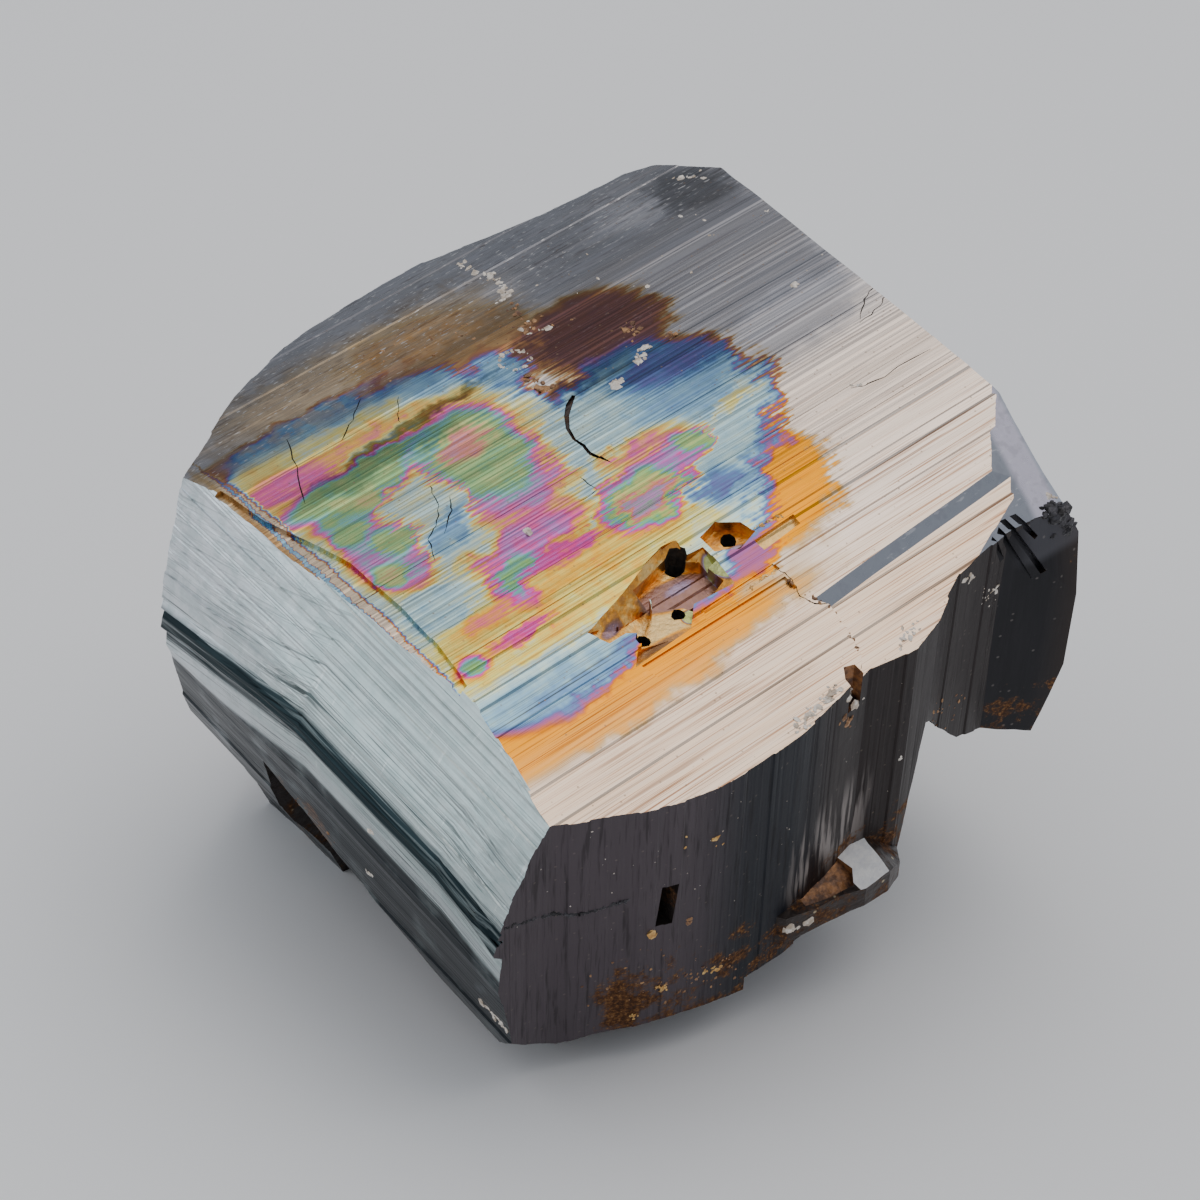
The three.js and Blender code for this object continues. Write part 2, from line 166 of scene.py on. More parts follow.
@dataclass(frozen=True)
class Striae:
    """One side of a bar: a profile broken into long ledges, with fine lines on each ledge."""

    profile: Line
    ledges: int = 0
    depth: float = 0.13
    seed: int = 1
    fine_step: float = 0.1
    fine_depth: float = 0.016
    swell: float = 0.03

    def coarse(self) -> np.ndarray:
        """Returns the corners of the ledges, or the profile itself where it has none."""
        corners = np.array(self.profile, float)
        if not self.ledges:
            return corners
        steps = np.diff(corners, axis=0)
        lengths = np.hypot(steps[:, 0], steps[:, 1])
        stops = np.concatenate([[0.0], np.cumsum(lengths)])
        following = number_source(self.seed)
        count = self.ledges
        marks = [(i + (following() * 0.7 - 0.35 if i % count else 0.0)) / count for i in range(count + 1)]
        riser = 0.06 / count
        points = []
        for i in range(count):
            set_back = self.depth * following()
            for u in (marks[i] + riser, marks[i + 1] - riser):
                place = min(max(u, 0.0), 1.0) * stops[-1]
                k = min(int(np.searchsorted(stops, place, side="right")) - 1, len(lengths) - 1)
                along = steps[k] / lengths[k]
                point = corners[k] + along * (place - stops[k])
                points.append((point[0] - along[1] * set_back, point[1] + along[0] * set_back))
        return np.array(points)

    def rings(self, stations: np.ndarray) -> np.ndarray:
        """Lays fine lines over the ledges.

        Args:
            stations: Places along the bar.

        Returns:
            Outline points as (station, point, 2).
        """
        line = self.coarse()
        rng = np.random.default_rng(self.seed)
        points, normals, free = [], [], []
        for p, q in zip(line[:-1], line[1:]):
            span = float(np.hypot(*(q - p)))
            count = max(1, round(span / self.fine_step))
            shares = np.arange(count) / count
            shares[1:] += (rng.random(count - 1) - 0.5) * 0.6 / count
            along = (q - p) / max(span, 1e-9)
            points.append(p + np.outer(shares, q - p))
            normals.append(np.tile([-along[1], along[0]], (count, 1)))
            free.append(np.where(shares > 0, 1.0, 0.25))
        points.append(line[-1:])
        normals.append(normals[-1][-1:])
        free.append(np.zeros(1))
        base = np.concatenate(points)
        normal = np.concatenate(normals)
        loose = np.concatenate(free)
        count, many = len(base), len(stations)
        knots = np.linspace(stations[0], stations[-1], max(3, many // 5))
        spread = np.array([np.interp(stations, knots, rng.random(len(knots))) for _ in range(count)]).T
        shown = np.clip((spread - 0.3) * 2.6, 0.1, 1.0)
        sizes = (rng.random(count) * 2 - 1) * loose * self.fine_depth
        offsets = sizes[None, :] * shown
        across = np.cumsum(np.hypot(*np.gradient(base, axis=0).T))
        wave = np.sin(across[None, :] * 0.9 + stations[:, None] * 0.21 + self.seed)
        wave += np.sin(across[None, :] * 0.37 - stations[:, None] * 0.33 + 2.0 * self.seed)
        offsets += wave * 0.5 * self.swell
        return base[None, :, :] + normal[None, :, :] * offsets[:, :, None]


def show(name: str, data: bpy.types.ID) -> bpy.types.Object:
    """Puts a mesh, a camera or a light into the scene and returns its object."""
    shown = bpy.data.objects.new(name, data)
    bpy.context.scene.collection.objects.link(shown)
    return shown


def hand_over(name: str, mesh: bpy.types.Mesh) -> bpy.types.Object:
    """Shows a finished piece of the crystal.

    Args:
        name: What to call it.
        mesh: Its mesh, in metres in the shared frame.

    Returns:
        The piece, which rides the part's body and replaces its node.
    """
    piece = show(name, mesh)
    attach(piece, BODY)
    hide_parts(NODE)
    return piece


def mesh_from(
    name: str, points: np.ndarray, faces: list[Sequence[int]], surfaces: Sequence[int],
) -> bpy.types.Mesh:
    """Builds a closed mesh.

    Args:
        name: What to call it.
        points: Corners in millimetres, as (n, 3).
        faces: Corner numbers of each face.
        surfaces: The material slot of each face.

    Returns:
        The mesh, with its faces turned outwards.
    """
    mesh = bpy.data.meshes.new(name)
    mesh.from_pydata(np.asarray(points).tolist(), [], faces)
    for _ in Surface:
        mesh.materials.append(None)
    mesh.polygons.foreach_set("material_index", np.asarray(surfaces, np.int32))
    work = bmesh.new()
    work.from_mesh(mesh)
    bmesh.ops.recalc_face_normals(work, faces=work.faces)
    work.to_mesh(mesh)
    work.free()
    return mesh


def tube(name: str, rings: np.ndarray, surfaces: Sequence[int]) -> bpy.types.Mesh:
    """Closes a stack of outlines into a solid bar.

    Args:
        name: What to call it.
        rings: Outline points as (station, point, 3), in order along the bar.
        surfaces: The material slot of each side, one for each outline point.

    Returns:
        The closed mesh.
    """
    stations, around = rings.shape[:2]
    faces: list[Sequence[int]] = []
    slots: list[int] = []
    for s in range(stations - 1):
        low, high = s * around, (s + 1) * around
        for i in range(around):
            j = (i + 1) % around
            faces.append((low + i, low + j, high + j, high + i))
            slots.append(surfaces[i])
    faces.append(tuple(range(around)))
    faces.append(tuple(range((stations - 1) * around, stations * around)))
    slots += [Surface.BROKEN.value] * 2
    return mesh_from(name, rings.reshape(-1, 3), faces, slots)


class Solid:
    """A closed mesh in crystal millimetres that can be joined, cut and trimmed by others."""

    def __init__(self, mesh: bpy.types.Mesh) -> None:
        """Wraps a mesh, which this solid then owns."""
        self.mesh = mesh

    def _act(self, other: "Solid", how: Combine) -> "Solid":
        """Combines with another solid, which is used up.

        Args:
            other: The solid that joins, cuts or trims this one.
            how: Which of the three it does.

        Returns:
            This solid, changed.
        """
        body, tool = show("body", self.mesh), show("tool", other.mesh)
        change = body.modifiers.new("combine", "BOOLEAN")
        change.operation = how.value
        change.solver = "MANIFOLD"
        change.object = tool
        graph = bpy.context.evaluated_depsgraph_get()
        made = bpy.data.meshes.new_from_object(body.evaluated_get(graph))
        bpy.data.objects.remove(body)
        bpy.data.objects.remove(tool)
        bpy.data.meshes.remove(self.mesh)
        bpy.data.meshes.remove(other.mesh)
        self.mesh = made
        return self

    def join(self, other: "Solid") -> "Solid":
        """Adds another solid to this one and returns this one."""
        return self._act(other, Combine.JOIN)

    def cut(self, other: "Solid") -> "Solid":
        """Takes another solid away from this one and returns this one."""
        return self._act(other, Combine.CUT)

    def keep(self, other: "Solid") -> "Solid":
        """Keeps what lies in both solids and returns this one."""
        return self._act(other, Combine.KEEP)


def broken_height(x: float, y: float, size: float, seed: int) -> float:
    """Gives the relief of a broken surface, with facets, chips and grain.

    Args:
        x: Place across, in millimetres.
        y: Place along, in millimetres.
        size: The usual width of a facet, in millimetres.
        seed: Which surface this is.

    Returns:
        A height from about -1 to 1.
    """
    spot = Vector((x / size, y / size, seed * 7.31))
    bend = noise.noise_vector(spot * 0.6) * 0.45
    distances, _ = noise.voronoi(spot + bend)
    facets = 1.1 - 1.6 * distances[0]
    lumps = noise.noise(spot * 0.5)
    grain = noise.fractal(spot * 2.6, 0.9, 2.1, 3)
    return 0.45 * facets + 0.5 * lumps + 0.16 * grain


def block_beyond(
    plane: Plane,
    outward: Triple,
    reach: float = 26.0,
    step: float = 0.55,
    relief: float = 0.3,
    size: float = 3.0,
    seed: int = 1,
    surface: Surface = Surface.BROKEN,
) -> Solid:
    """Makes a block that lies beyond a plane and meets it with a broken surface.

    Args:
        plane: Three points on the plane.
        outward: Roughly the direction in which the block lies.
        reach: Half the width of the block.
        step: The grid of the broken surface.
        relief: How far the surface rises and falls.
        size: The usual width of its facets.
        seed: Which pattern it has.
        surface: What the surface that it leaves is.

    Returns:
        The block.
    """
    p, q, r = (Vector(point) for point in plane)
    normal = (q - p).cross(r - p).normalized()
    if normal.dot(Vector(outward)) < 0:
        normal.negate()
    across = (q - p).normalized()
    along = normal.cross(across)
    middle = (p + q + r) / 3
    count = max(2, round(2 * reach / step)) if relief else 1
    places = np.linspace(-reach, reach, count + 1)
    points = []
    for x in places:
        for y in places:
            z = relief * broken_height(x, y, size, seed) if relief else 0.0
            points.append(middle + across * x + along * y + normal * z)
    row = count + 1
    faces = [
        (i * row + j, (i + 1) * row + j, (i + 1) * row + j + 1, i * row + j + 1)
        for i in range(count) for j in range(count)
    ]
    rim = [i * row for i in range(row)]
    rim += [count * row + j for j in range(1, row)]
    rim += [i * row + count for i in range(count - 1, -1, -1)]
    rim += [j for j in range(count - 1, 0, -1)]
    first = len(points)
    points += [points[i] + normal * FAR for i in rim]
    ring = len(rim)
    for i in range(ring):
        j = (i + 1) % ring
        faces.append((rim[i], rim[j], first + j, first + i))
    faces.append(tuple(range(first, first + ring)))
    slots = [surface.value] * len(faces)
    return Solid(mesh_from("beyond", np.array([tuple(v) for v in points]), faces, slots))


def column(plan: Line, low: float, high: float, surface: Surface = Surface.BROKEN) -> Solid:
    """Raises a plan outline along c.

    Args:
        plan: The outline as (a, b).
        low: Where it starts.
        high: Where it ends.
        surface: What its sides are.

    Returns:
        The upright block.
    """
    rings = np.array([[(a, b, c) for a, b in plan] for c in (low, high)])
    return Solid(tube("column", rings, [surface.value] * len(plan)))


def column_reach(a: Pair, b: Pair) -> Solid:
    """Returns a box between ranges along a and b, over the full height."""
    plan = [(a[0], b[0]), (a[1], b[0]), (a[1], b[1]), (a[0], b[1])]
    return column(plan, -FAR, FAR)


def spaced(ends: Pair, near: Pair, step: float) -> np.ndarray:
    """Spaces stations along a bar, close together where the crystal is.

    Args:
        ends: Where the bar starts and stops.
        near: The stretch that the crystal fills.
        step: The spacing there.

    Returns:
        The stations.
    """
    inner = np.arange(near[0], near[1] + step, step)
    return np.concatenate([[ends[0]], inner, [ends[1]]])


@dataclass(frozen=True)
class MainBlock:
    """The striated block, as the space that three bars share."""

    top: Striae = Striae(
        profile=(
            (-8, -1.9), (-3, -0.66), (0, 0), (2, 0.42), (4, 0.85), (6, 1.25), (8.2, 1.66),
            (10, 1.62), (14, 1.3), (18, 0.95), (22, 0.6), (25, 0.35), (28.5, 0),
            (31, -0.7), (33, -1.35), (35, -2.1), (37, -2.95), (40, -4.5), (44, -7),
        ),
        ledges=46, depth=-0.13, seed=31, fine_step=0.11, fine_depth=0.010, swell=0.02,
    )
    left_upper: Striae = Striae(
        profile=((2.6, 3.4), (0, 0), (-1.4, -1.9), (-2.8, -3.8), (-3.45, -5.1)),
        ledges=20, depth=0.14, seed=11,
    )
    left_ridge: Striae = Striae(
        profile=((-3.2, -5.3), (-3.5, -5.6), (-3.1, -5.8), (-3.5, -6.1), (-3.7, -6.5), (-3.65, -6.8)),
        seed=14,
    )
    left_lower: Striae = Striae(
        profile=(
            (-3.2, -7.2), (-3.5, -11), (-3.1, -14), (-2.75, -17), (-2.25, -19.2), (-1.5, -21.2),
            (-0.4, -23.4), (1.2, -27.2), (2.2, -31), (3.4, -39),
        ),
        ledges=16, depth=0.14, seed=12, fine_step=0.16,
    )
    right: Striae = Striae(
        profile=(
            (36, -39), (39.6, -22), (40.6, -14), (40.9, -8), (39.8, -3.2), (38.4, -0.5), (37.6, 1),
            (36.4, 3.4),
        ),
        ledges=20, depth=0.14, seed=13, fine_step=0.16,
    )
    ridge_sag: Line = (
        (-12, 2.4), (0, 1.5), (2, 0.5), (5, 0), (17, 0), (21, 0.8), (24, 1.8), (27, 2.5), (31, 3.9), (52, 5),
    )
    ridge_level: float = -6.5
    sag_reach: float = 6.0
    front: Striae = Striae(
        profile=(
            (-7, 0.3), (-3, -0.1), (0, 0), (2.4, -1.0), (4.8, -2.05), (6.9, -2.7), (8.6, -3.0), (11.9, -3.12),
            (14, -3.05), (15.9, -2.8), (17.7, -2.45),
        ),
        ledges=28, depth=0.12, seed=21, fine_step=0.12,
    )
    front_right: Striae = Striae(
        profile=(
            (19.8, -1.95), (21.5, -2.3), (22.9, -2.4), (24.8, -1.9), (26, -1.2), (27.3, -0.35), (29.8, 0.05),
            (31.9, 0.35), (33.5, 0.4), (35.7, 0.1),
        ),
        ledges=16, depth=0.12, seed=22, fine_step=0.12,
    )
    right_corner: Striae = Striae(
        profile=(
            (36.2, 1.6), (36.6, 3.7), (37, 5.8), (37.3, 7.2), (37.7, 9.8), (38.6, 13), (42, 18), (48, 22),
        ),
        seed=24, fine_step=0.2,
    )
    back: Striae = Striae(
        profile=(
            (48, 24), (41, 29.5), (38.4, 33.2), (37, 36), (35.9, 36.9), (31.9, 37.3), (29.3, 37.7),
            (26.5, 38.1), (24.1, 38.9), (21.8, 39.7), (18.7, 39.7), (14, 39.2), (11.6, 38.7), (9.1, 37.7),
            (6.6, 36.5), (3.6, 34.5), (1.6, 33), (-0.7, 31.5), (-3.4, 30.5), (-7, 29.2),
        ),
        ledges=38, depth=0.15, seed=23, fine_step=0.16,
    )

    def _bar(
        self, sides: Sequence[tuple[Striae, Surface]], stations: np.ndarray, extra: Line, axes: str,
    ) -> tuple[np.ndarray, list[int]]:
        """Lays out one bar.

        Args:
            sides: Its striated sides in order round the outline.
            stations: Places along it.
            extra: Plain corners that close the outline.
            axes: The two axes that its outline is drawn in, and then the one that it runs along.

        Returns:
            Crystal points as (station, point, 3), and the material slot of each side.
        """
        parts = [side.rings(stations) for side, _ in sides]
        slots = [surface.value for part, (_, surface) in zip(parts, sides) for _ in range(part.shape[1])]
        if extra:
            parts.append(np.tile(np.array(extra, float), (len(stations), 1, 1)))
            slots += [Surface.BROKEN.value] * len(extra)
        outline = np.concatenate(parts, axis=1)
        rng = np.random.default_rng(len(slots))
        along = np.repeat(stations[:, None], outline.shape[1], axis=1)
        gaps = np.diff(stations)
        along[1:-1] += (rng.random(along[1:-1].shape) - 0.5) * SWAY * np.minimum(gaps[:-1], gaps[1:])[:, None]
        drawn = (outline[..., 0], outline[..., 1], along)
        return np.stack([drawn[axes.index(axis)] for axis in "abc"], axis=-1), slots

    def top_bar(self, drop: float = 0.0, surface: Surface = Surface.TOP) -> Solid:
        """Makes the bar whose upper side is the top face.

        Args:
            drop: How far it is lowered.
            surface: What its upper side is.

        Returns:
            The bar.
        """
        feet = ((44.0, -FAR), (-8.0, -FAR))
        rings, slots = self._bar([(self.top, surface)], spaced(A_ENDS, (-4.5, 42.0), 1.1), feet, "bca")
        rings[..., 2] -= drop
        return Solid(tube("top", rings, slots))

    def side_bar(self) -> Solid:
        """Returns the bar whose sides are the left and right faces, with a ridge that sags at its ends."""
        sides = [
            (self.left_upper, Surface.LEFT), (self.left_ridge, Surface.LEFT), (self.left_lower, Surface.LEFT),
            (self.right, Surface.RIGHT),
        ]
        rings, slots = self._bar(sides, spaced(B_ENDS, (-5.5, 41.0), 1.2), (), "acb")
        a, b, c = np.moveaxis(rings, -1, 0)
        nearness = np.clip(1 - np.abs(c - self.ridge_level) / self.sag_reach, 0, 1)
        c -= height_at(self.ridge_sag, b) * nearness * (a < 0)
        return Solid(tube("sides", rings, slots))

    def end_bar(self) -> Solid:
        """Returns the bar whose sides are the front and back faces."""
        sides = [
            (self.front, Surface.FRONT), (self.front_right, Surface.FRONT),
            (self.right_corner, Surface.RIGHT), (self.back, Surface.BACK),
        ]
        return Solid(tube("ends", *self._bar(sides, spaced(C_ENDS, (-34.0, 3.0), 1.2), (), "abc")))

    def build(self) -> Solid:
        """Returns the striated block before anything is joined to it or cut from it."""
        return self.side_bar().keep(self.end_bar()).keep(self.top_bar())


@dataclass(frozen=True)
class SmallCrystal:
    """The smaller crystal grown onto the right end, and the broken hollow beneath it."""

    plan: Line = (
        (25.6, 6), (25.5, -0.5), (27.4, 0.5), (29.3, 1.4), (32.6, 0.15), (36.4, -1.4), (37.4, 0.6),
        (37.6, 3.6), (37.2, 10), (34, 12),
    )
    top: float = -0.3
    shoulder: Plane = ((31.3, 0.65, -0.3), (36, 0.3, -0.8), (34.4, -0.6, -4.6))
    shoulder_side: Plane = ((35.9, 0.3, -0.75), (36.8, 5, 0.2), (37.3, 0.6, -3.6))
    lower_facet: Plane = ((36.45, -1.4, -13.3), (35.2, -0.9, -19.3), (38.4, 3, -17.5))
    underside: Plane = ((35.2, -0.9, -19.3), (30.9, 0.8, -17.3), (36, 30, -20))
    climbing: Plane = ((25.4, -0.5, -10.2), (29.3, 1.4, -15.8), (27.5, 30, -16))
    wall: Line = (
        (25.6, -6), (25.4, -0.5), (26.2, 4), (25.7, 11), (27, 17), (26.2, 25), (27.4, 33), (26.6, 46),
        (58, 46), (58, -6),
    )
    leaning_wall: Plane = ((24.9, -0.5, -10.3), (23.7, -1.2, -18.6), (27, 24, -13))
    grooves: tuple[tuple[Triple, Triple], ...] = (
        ((31.9, 0.75, 0.1), (34.3, -0.5, -4.8)),
        ((31.4, 0.65, -0.3), (33.5, -0.6, -5.0)),
        ((30.7, 0.6, -0.4), (32.4, -0.35, -4.2)),
        ((32.45, 0.8, 0.3), (33.9, 0.2, -2.2)),
    )
    groove_width: float = 0.34
    groove_depth: float = 0.7

    def groove(self, ends: tuple[Triple, Triple]) -> Solid:
        """Makes a straight groove along the shoulder, deepest along one side.

        Args:
            ends: Where it starts and stops.

        Returns:
            The space to cut away.
        """
        start, end = (Vector(point) for point in ends)
        p, q, r = (Vector(point) for point in self.shoulder)
        outward = (q - p).cross(r - p).normalized()
        across = outward.cross(end - start).normalized() * self.groove_width / 2
        deep = outward * self.groove_depth / 2
        rings = [[tuple(spot + k * across + m * deep) for k, m in ((-1, -1), (1, -0.3), (1, 1), (-1, 1))]
                 for spot in (start, end)]
        return Solid(tube("groove", np.array(rings), [Surface.SMALL.value] * 4))

    def _beneath(self) -> list[Solid]:
        """Returns the nearly level and the climbing broken block under the right end."""
        return [
            block_beyond(plane, (0, 0, -1), seed=seed, relief=0.35)
            for plane, seed in ((self.underside, 41), (self.climbing, 42))
        ]

    def hollow(self) -> Solid:
        """Returns the space under the right end, up to the wall that is left under the block."""
        level, climbing = self._beneath()
        wall = column(self.wall, -FAR, 0).join(
            block_beyond(self.leaning_wall, (1, 0, 0), seed=44, relief=0.3))
        return level.join(climbing).keep(wall)

    def build(self) -> Solid:
        """Returns the crystal itself."""
        body = column(self.plan, -FAR / 2, self.top, Surface.SMALL)
        body.cut(block_beyond(self.shoulder, (0, -1, 1), relief=0.0, surface=Surface.SMALL))
        body.cut(block_beyond(self.shoulder_side, (1, 0, 1), relief=0.0, surface=Surface.SMALL))
        body.cut(block_beyond(self.lower_facet, (1, 0, -1), relief=0.12, size=2.0, seed=46))
        for block in self._beneath():
            body.cut(block)
        return body


@dataclass(frozen=True)
class FrontLedge:
    """The ledge low on the right of the front face, with its rusty recess."""

    plan: Line = (
        (12.8, -2.2), (13.8, -3.5), (15.2, -3.9), (17.2, -4.2), (18.6, -4.7), (20.5, -4.6), (22.2, -3.7),
        (24.2, -1.2), (22, 3), (14, 3),
    )
    top: float = -16.3
    bottom: float = -21.5
    under: Plane = ((14, -3.6, -18.6), (21, -4.5, -18.5), (18, 0, -22.6))
    right: Plane = ((20.7, -2.2, -16.3), (20.3, -4.8, -16.3), (23.6, -2.4, -19.4))
    recess: Line = ((16.6, -3.9), (15.2, -3.5), (15.4, -1.4), (18.6, -1.0), (18.9, -3.2), (18.2, -4.1))
    recess_depth: float = 0.8

    def build(self) -> Solid:
        """Returns the ledge."""
        ledge = column(self.plan, self.bottom, self.top, Surface.BROKEN)
        ledge.cut(block_beyond(self.under, (0, 0, -1), reach=12, step=0.4, relief=0.18, size=1.4, seed=51))
        ledge.cut(block_beyond(self.right, (1, 0, 1), reach=8, step=0.4, relief=0.12, size=1.4, seed=52))
        level = self.top - 0.1
        # The top of the ledge is cut level; its right part is laid near white as a painted highlight
        for surface, plan in (
            (Surface.BROKEN, ((8, -8), (18.3, -8), (18.3, 6), (8, 6))),
            (Surface.PAINTED_HIGHLIGHT, ((18.3, -8), (28, -8), (28, 6), (18.3, 6))),
        ):
            above = block_beyond(
                ((19, -4, level), (20, -4, level), (19, -3, level)), (0, 0, 1), reach=10, step=0.5,
                relief=0.07, size=1.1, seed=53, surface=surface)
            ledge.cut(above.keep(column(plan, self.bottom, FAR, surface)))
        floor = self.top - self.recess_depth
        hollow = block_beyond(
            ((16, -4, floor - 0.4), (17, -4, floor - 0.4), (16, -2, floor + 0.5)), (0, 0, 1),
            reach=9, step=0.35, relief=0.18, size=1.2, seed=54, surface=Surface.RUSTY)
        ledge.cut(hollow.keep(column(self.recess, self.bottom, self.top + 1, Surface.RUSTY)))
        return ledge


@dataclass(frozen=True)
class SunkenArea:
    """Part of the top face that lies lower than the rest."""

    plan: Line
    drop: float
    walls: Surface = Surface.TOP

    def build(self, block: MainBlock) -> Solid:
        """Returns the space above the sunken area of a block, to cut away."""
        return column(self.plan, -FAR / 2, FAR / 2, self.walls).cut(block.top_bar(self.drop, self.walls))


@dataclass(frozen=True)
class Facet:
    """One sloping facet of a pit: everything above a plane, inside a plan outline."""

    plan: Line
    plane: Plane
    surface: Surface = Surface.PIT
    relief: float = 0.07

    def build(self, seed: int) -> Solid:
        """Returns the space above the facet, to cut away. The seed picks the pattern of its surface."""
        above = block_beyond(
            self.plane, (0, 0, 1), reach=9, step=0.3, relief=self.relief, size=1.0, seed=seed,
            surface=self.surface)
        return above.keep(column(self.plan, -FAR / 2, FAR / 2, self.surface))


@dataclass(frozen=True)
class Hole:
    """A deep round hole in the top face."""

    centre: Pair
    radius: float
    depth: float
    sides: int = 9

    def build(self, block: MainBlock) -> Solid:
        """Makes the space of the hole.

        Args:
            block: The block that it is cut into.

        Returns:
            The space to cut away.
        """
        top = float(height_at(block.top.profile, self.centre[1]))
        rng = np.random.default_rng(int(self.radius * 1000))
        angles = np.arange(self.sides) * math.tau / self.sides
        wobble = 1 + (rng.random(self.sides) - 0.5) * 0.35
        rings = []
        levels = ((top + 1, 1.1), (top, 1.0), (top - self.depth * 0.6, 0.85), (top - self.depth, 0.4))
        for level, share in levels:
            a = self.centre[0] + np.cos(angles) * self.radius * share * wobble
            b = self.centre[1] + np.sin(angles) * self.radius * share * wobble
            rings.append(np.stack([a, b, np.full(self.sides, level)], axis=-1))
        return Solid(tube("hole", np.array(rings), [Surface.HOLE.value] * self.sides))


@dataclass(frozen=True)
class TopRelief:
    """Everything that is cut into the top face."""

    left_strip: SunkenArea = SunkenArea(
        plan=(
            (-4, 29.5), (0.2, 28.8), (0.6, 25.3), (1.5, 22.6), (2.2, 19.7), (2.3, 15.4), (2.1, 11.6),
            (1.6, 8.8), (-4, 7.5),
        ),
        drop=0.26,
    )
    front_step: SunkenArea = SunkenArea(
        plan=(
            (19, -6), (19.3, -1.9), (20, -1), (20.3, 0.9), (20.4, 2), (19.7, 2.9), (35.5, 3.8), (44, 4.3),
            (44, -6),
        ),
        drop=0.34,
    )
    front_riser: Plane = ((20, 2.75, 0.6), (35.5, 3.65, 0.78), (20, 2, 0.08))
    grey_groove: SunkenArea = SunkenArea(
        plan=((9.7, 4.6), (13.6, 4.6), (19.5, 4.6), (19.6, 3.7), (13.6, 3.6), (10, 3.6)), drop=0.2,
    )
    facets: tuple[Facet, ...] = (
        Facet(
            ((8.6, 7.7), (11.9, 8.9), (15.3, 9.8), (15.3, 8.9), (12.6, 7.5), (10.2, 7.1)),
            ((8.6, 7.7, 1.5), (15.3, 9.8, 1.5), (12.6, 7.5, 0.35))),
        Facet(
            ((8.6, 7.7), (10.2, 7.1), (12.6, 7.5), (12.3, 6.9), (11.1, 6.1), (10.3, 6.6), (9.2, 6.6)),
            ((8.6, 7.6, 1.45), (9.2, 6.6, 1.2), (12.4, 7.2, 0.5))),
        Facet(
            ((11.1, 6.1), (12.3, 6.9), (12.7, 7.5), (14.2, 6.5), (14.4, 6.0), (13.5, 5.1), (12.4, 5.0),
             (10.4, 5.5)),
            ((11, 6.2, 0.7), (14, 6.2, 0.5), (12.5, 5.1, 0.65))),
        Facet(
            ((15.2, 8.8), (15.3, 9.8), (16.2, 9.7), (16.1, 8.6), (17.1, 8.5), (17.1, 7.4), (15.2, 8.0)),
            ((15.5, 9.8, 1.4), (17.1, 8.5, 1.35), (15.5, 8.3, 0.45))),
        Facet(
            ((16.4, 8.3), (17.1, 8.5), (17.1, 5.8), (14.4, 6.0), (14.1, 6.6), (16.7, 6.5)),
            ((17.1, 8.4, 1.45), (17.1, 5.8, 1.15), (16.2, 7.0, 0.35))),
        Facet(
            ((9.4, 4.7), (10.3, 5.6), (12.4, 5.1), (13.5, 5.1), (13.3, 4.9)),
            ((9.4, 4.7, 0.9), (13.4, 5.0, 0.7), (11, 5.6, 0.6))),
        Facet(
            ((14.6, 5.5), (19.5, 5.6), (19.6, 5.1), (14.3, 4.9)),
            ((14.6, 5.5, 0.92), (19.6, 5.6, 0.95), (17, 4.9, 0.85)), Surface.TOP, 0.03),
    )
    hopper_floor: SunkenArea = SunkenArea(
        plan=((12.4, 8.6), (15.2, 9.3), (16.6, 8.2), (16.8, 6.4), (14.2, 6.5), (12.6, 7.4)),
        drop=1.3, walls=Surface.PIT,
    )
    side_pit: SunkenArea = SunkenArea(
        plan=((17.4, 9.1), (18.7, 9.4), (19.8, 8.6), (20, 7.6), (18.6, 7.2), (17.4, 7.9)),
        drop=0.8, walls=Surface.PIT,
    )
    shallow_pit: SunkenArea = SunkenArea(
        plan=((19.6, 7.2), (22.4, 7.3), (22.4, 6.7), (19.7, 6.5)), drop=0.3, walls=Surface.PIT,
    )
    curved_crack: SunkenArea = SunkenArea(
        plan=(
            (19.2, 22.15), (18.4, 21.7), (17.8, 21.1), (17.2, 20.2), (16.95, 19.3), (17.0, 18.5),
            (16.9, 17.8), (17.15, 17.0), (17.4, 16.4), (17.3, 17.1), (17.1, 17.9), (17.2, 18.5),
            (17.1, 19.2), (17.4, 20.1), (18, 20.9), (18.6, 21.4), (19.3, 21.95),
        ),
        drop=0.18, walls=Surface.BROKEN,
    )
    fine_cracks: tuple[Line, ...] = (
        ((19.45, 5.2), (19.7, 4.3), (19.4, 3.2), (19.8, 2.4), (20.6, 2.0), (20.4, 0.9), (20.1, 0.0),
         (20.1, -1.0), (19.3, -1.8)),
        ((8.9, 21.6), (8.5, 20.4), (7.6, 19.2), (6.4, 18.4), (5.7, 16.9)),
        ((9.2, 20.2), (8.6, 19.3), (7.3, 18.2)),
        ((10.4, 29.9), (8.9, 28.6), (7.4, 27.6)),
        ((11.9, 28.4), (11.0, 27.2), (10.7, 26.6)),
        ((5.4, 30.0), (4.3, 27.6), (3.0, 24.9)),
        ((15.4, 16.7), (15.5, 15.4), (14.2, 15.3)),
        ((35.2, 16.2), (36.6, 17.4), (37.9, 17.9)),
        ((35.0, 16.0), (36.8, 16.3), (37.9, 16.9)),
        ((31.0, 12.3), (31.9, 11.9), (36.5, 11.8)),
    )
    crack_width: float = 0.065
    crack_depth: float = 0.08
    crack_stray: float = 0.16
    holes: tuple[Hole, ...] = (
        Hole(centre=(15.6, 9.0), radius=0.62, depth=2.6),
        Hole(centre=(18.9, 8.5), radius=0.5, depth=2.3),
        Hole(centre=(10.9, 5.9), radius=0.42, depth=1.8),
        Hole(centre=(13.6, 6.3), radius=0.42, depth=2.0),
    )
    front_bevel: Plane = ((30.2, 0.5, -0.25), (35.6, 3.7, 0.72), (33.5, 0.9, -0.5))
    corner_bevel: Plane = ((36.9, 6.9, 1.3), (33.5, 0.9, -0.4), (35.8, 0.2, -1.25))

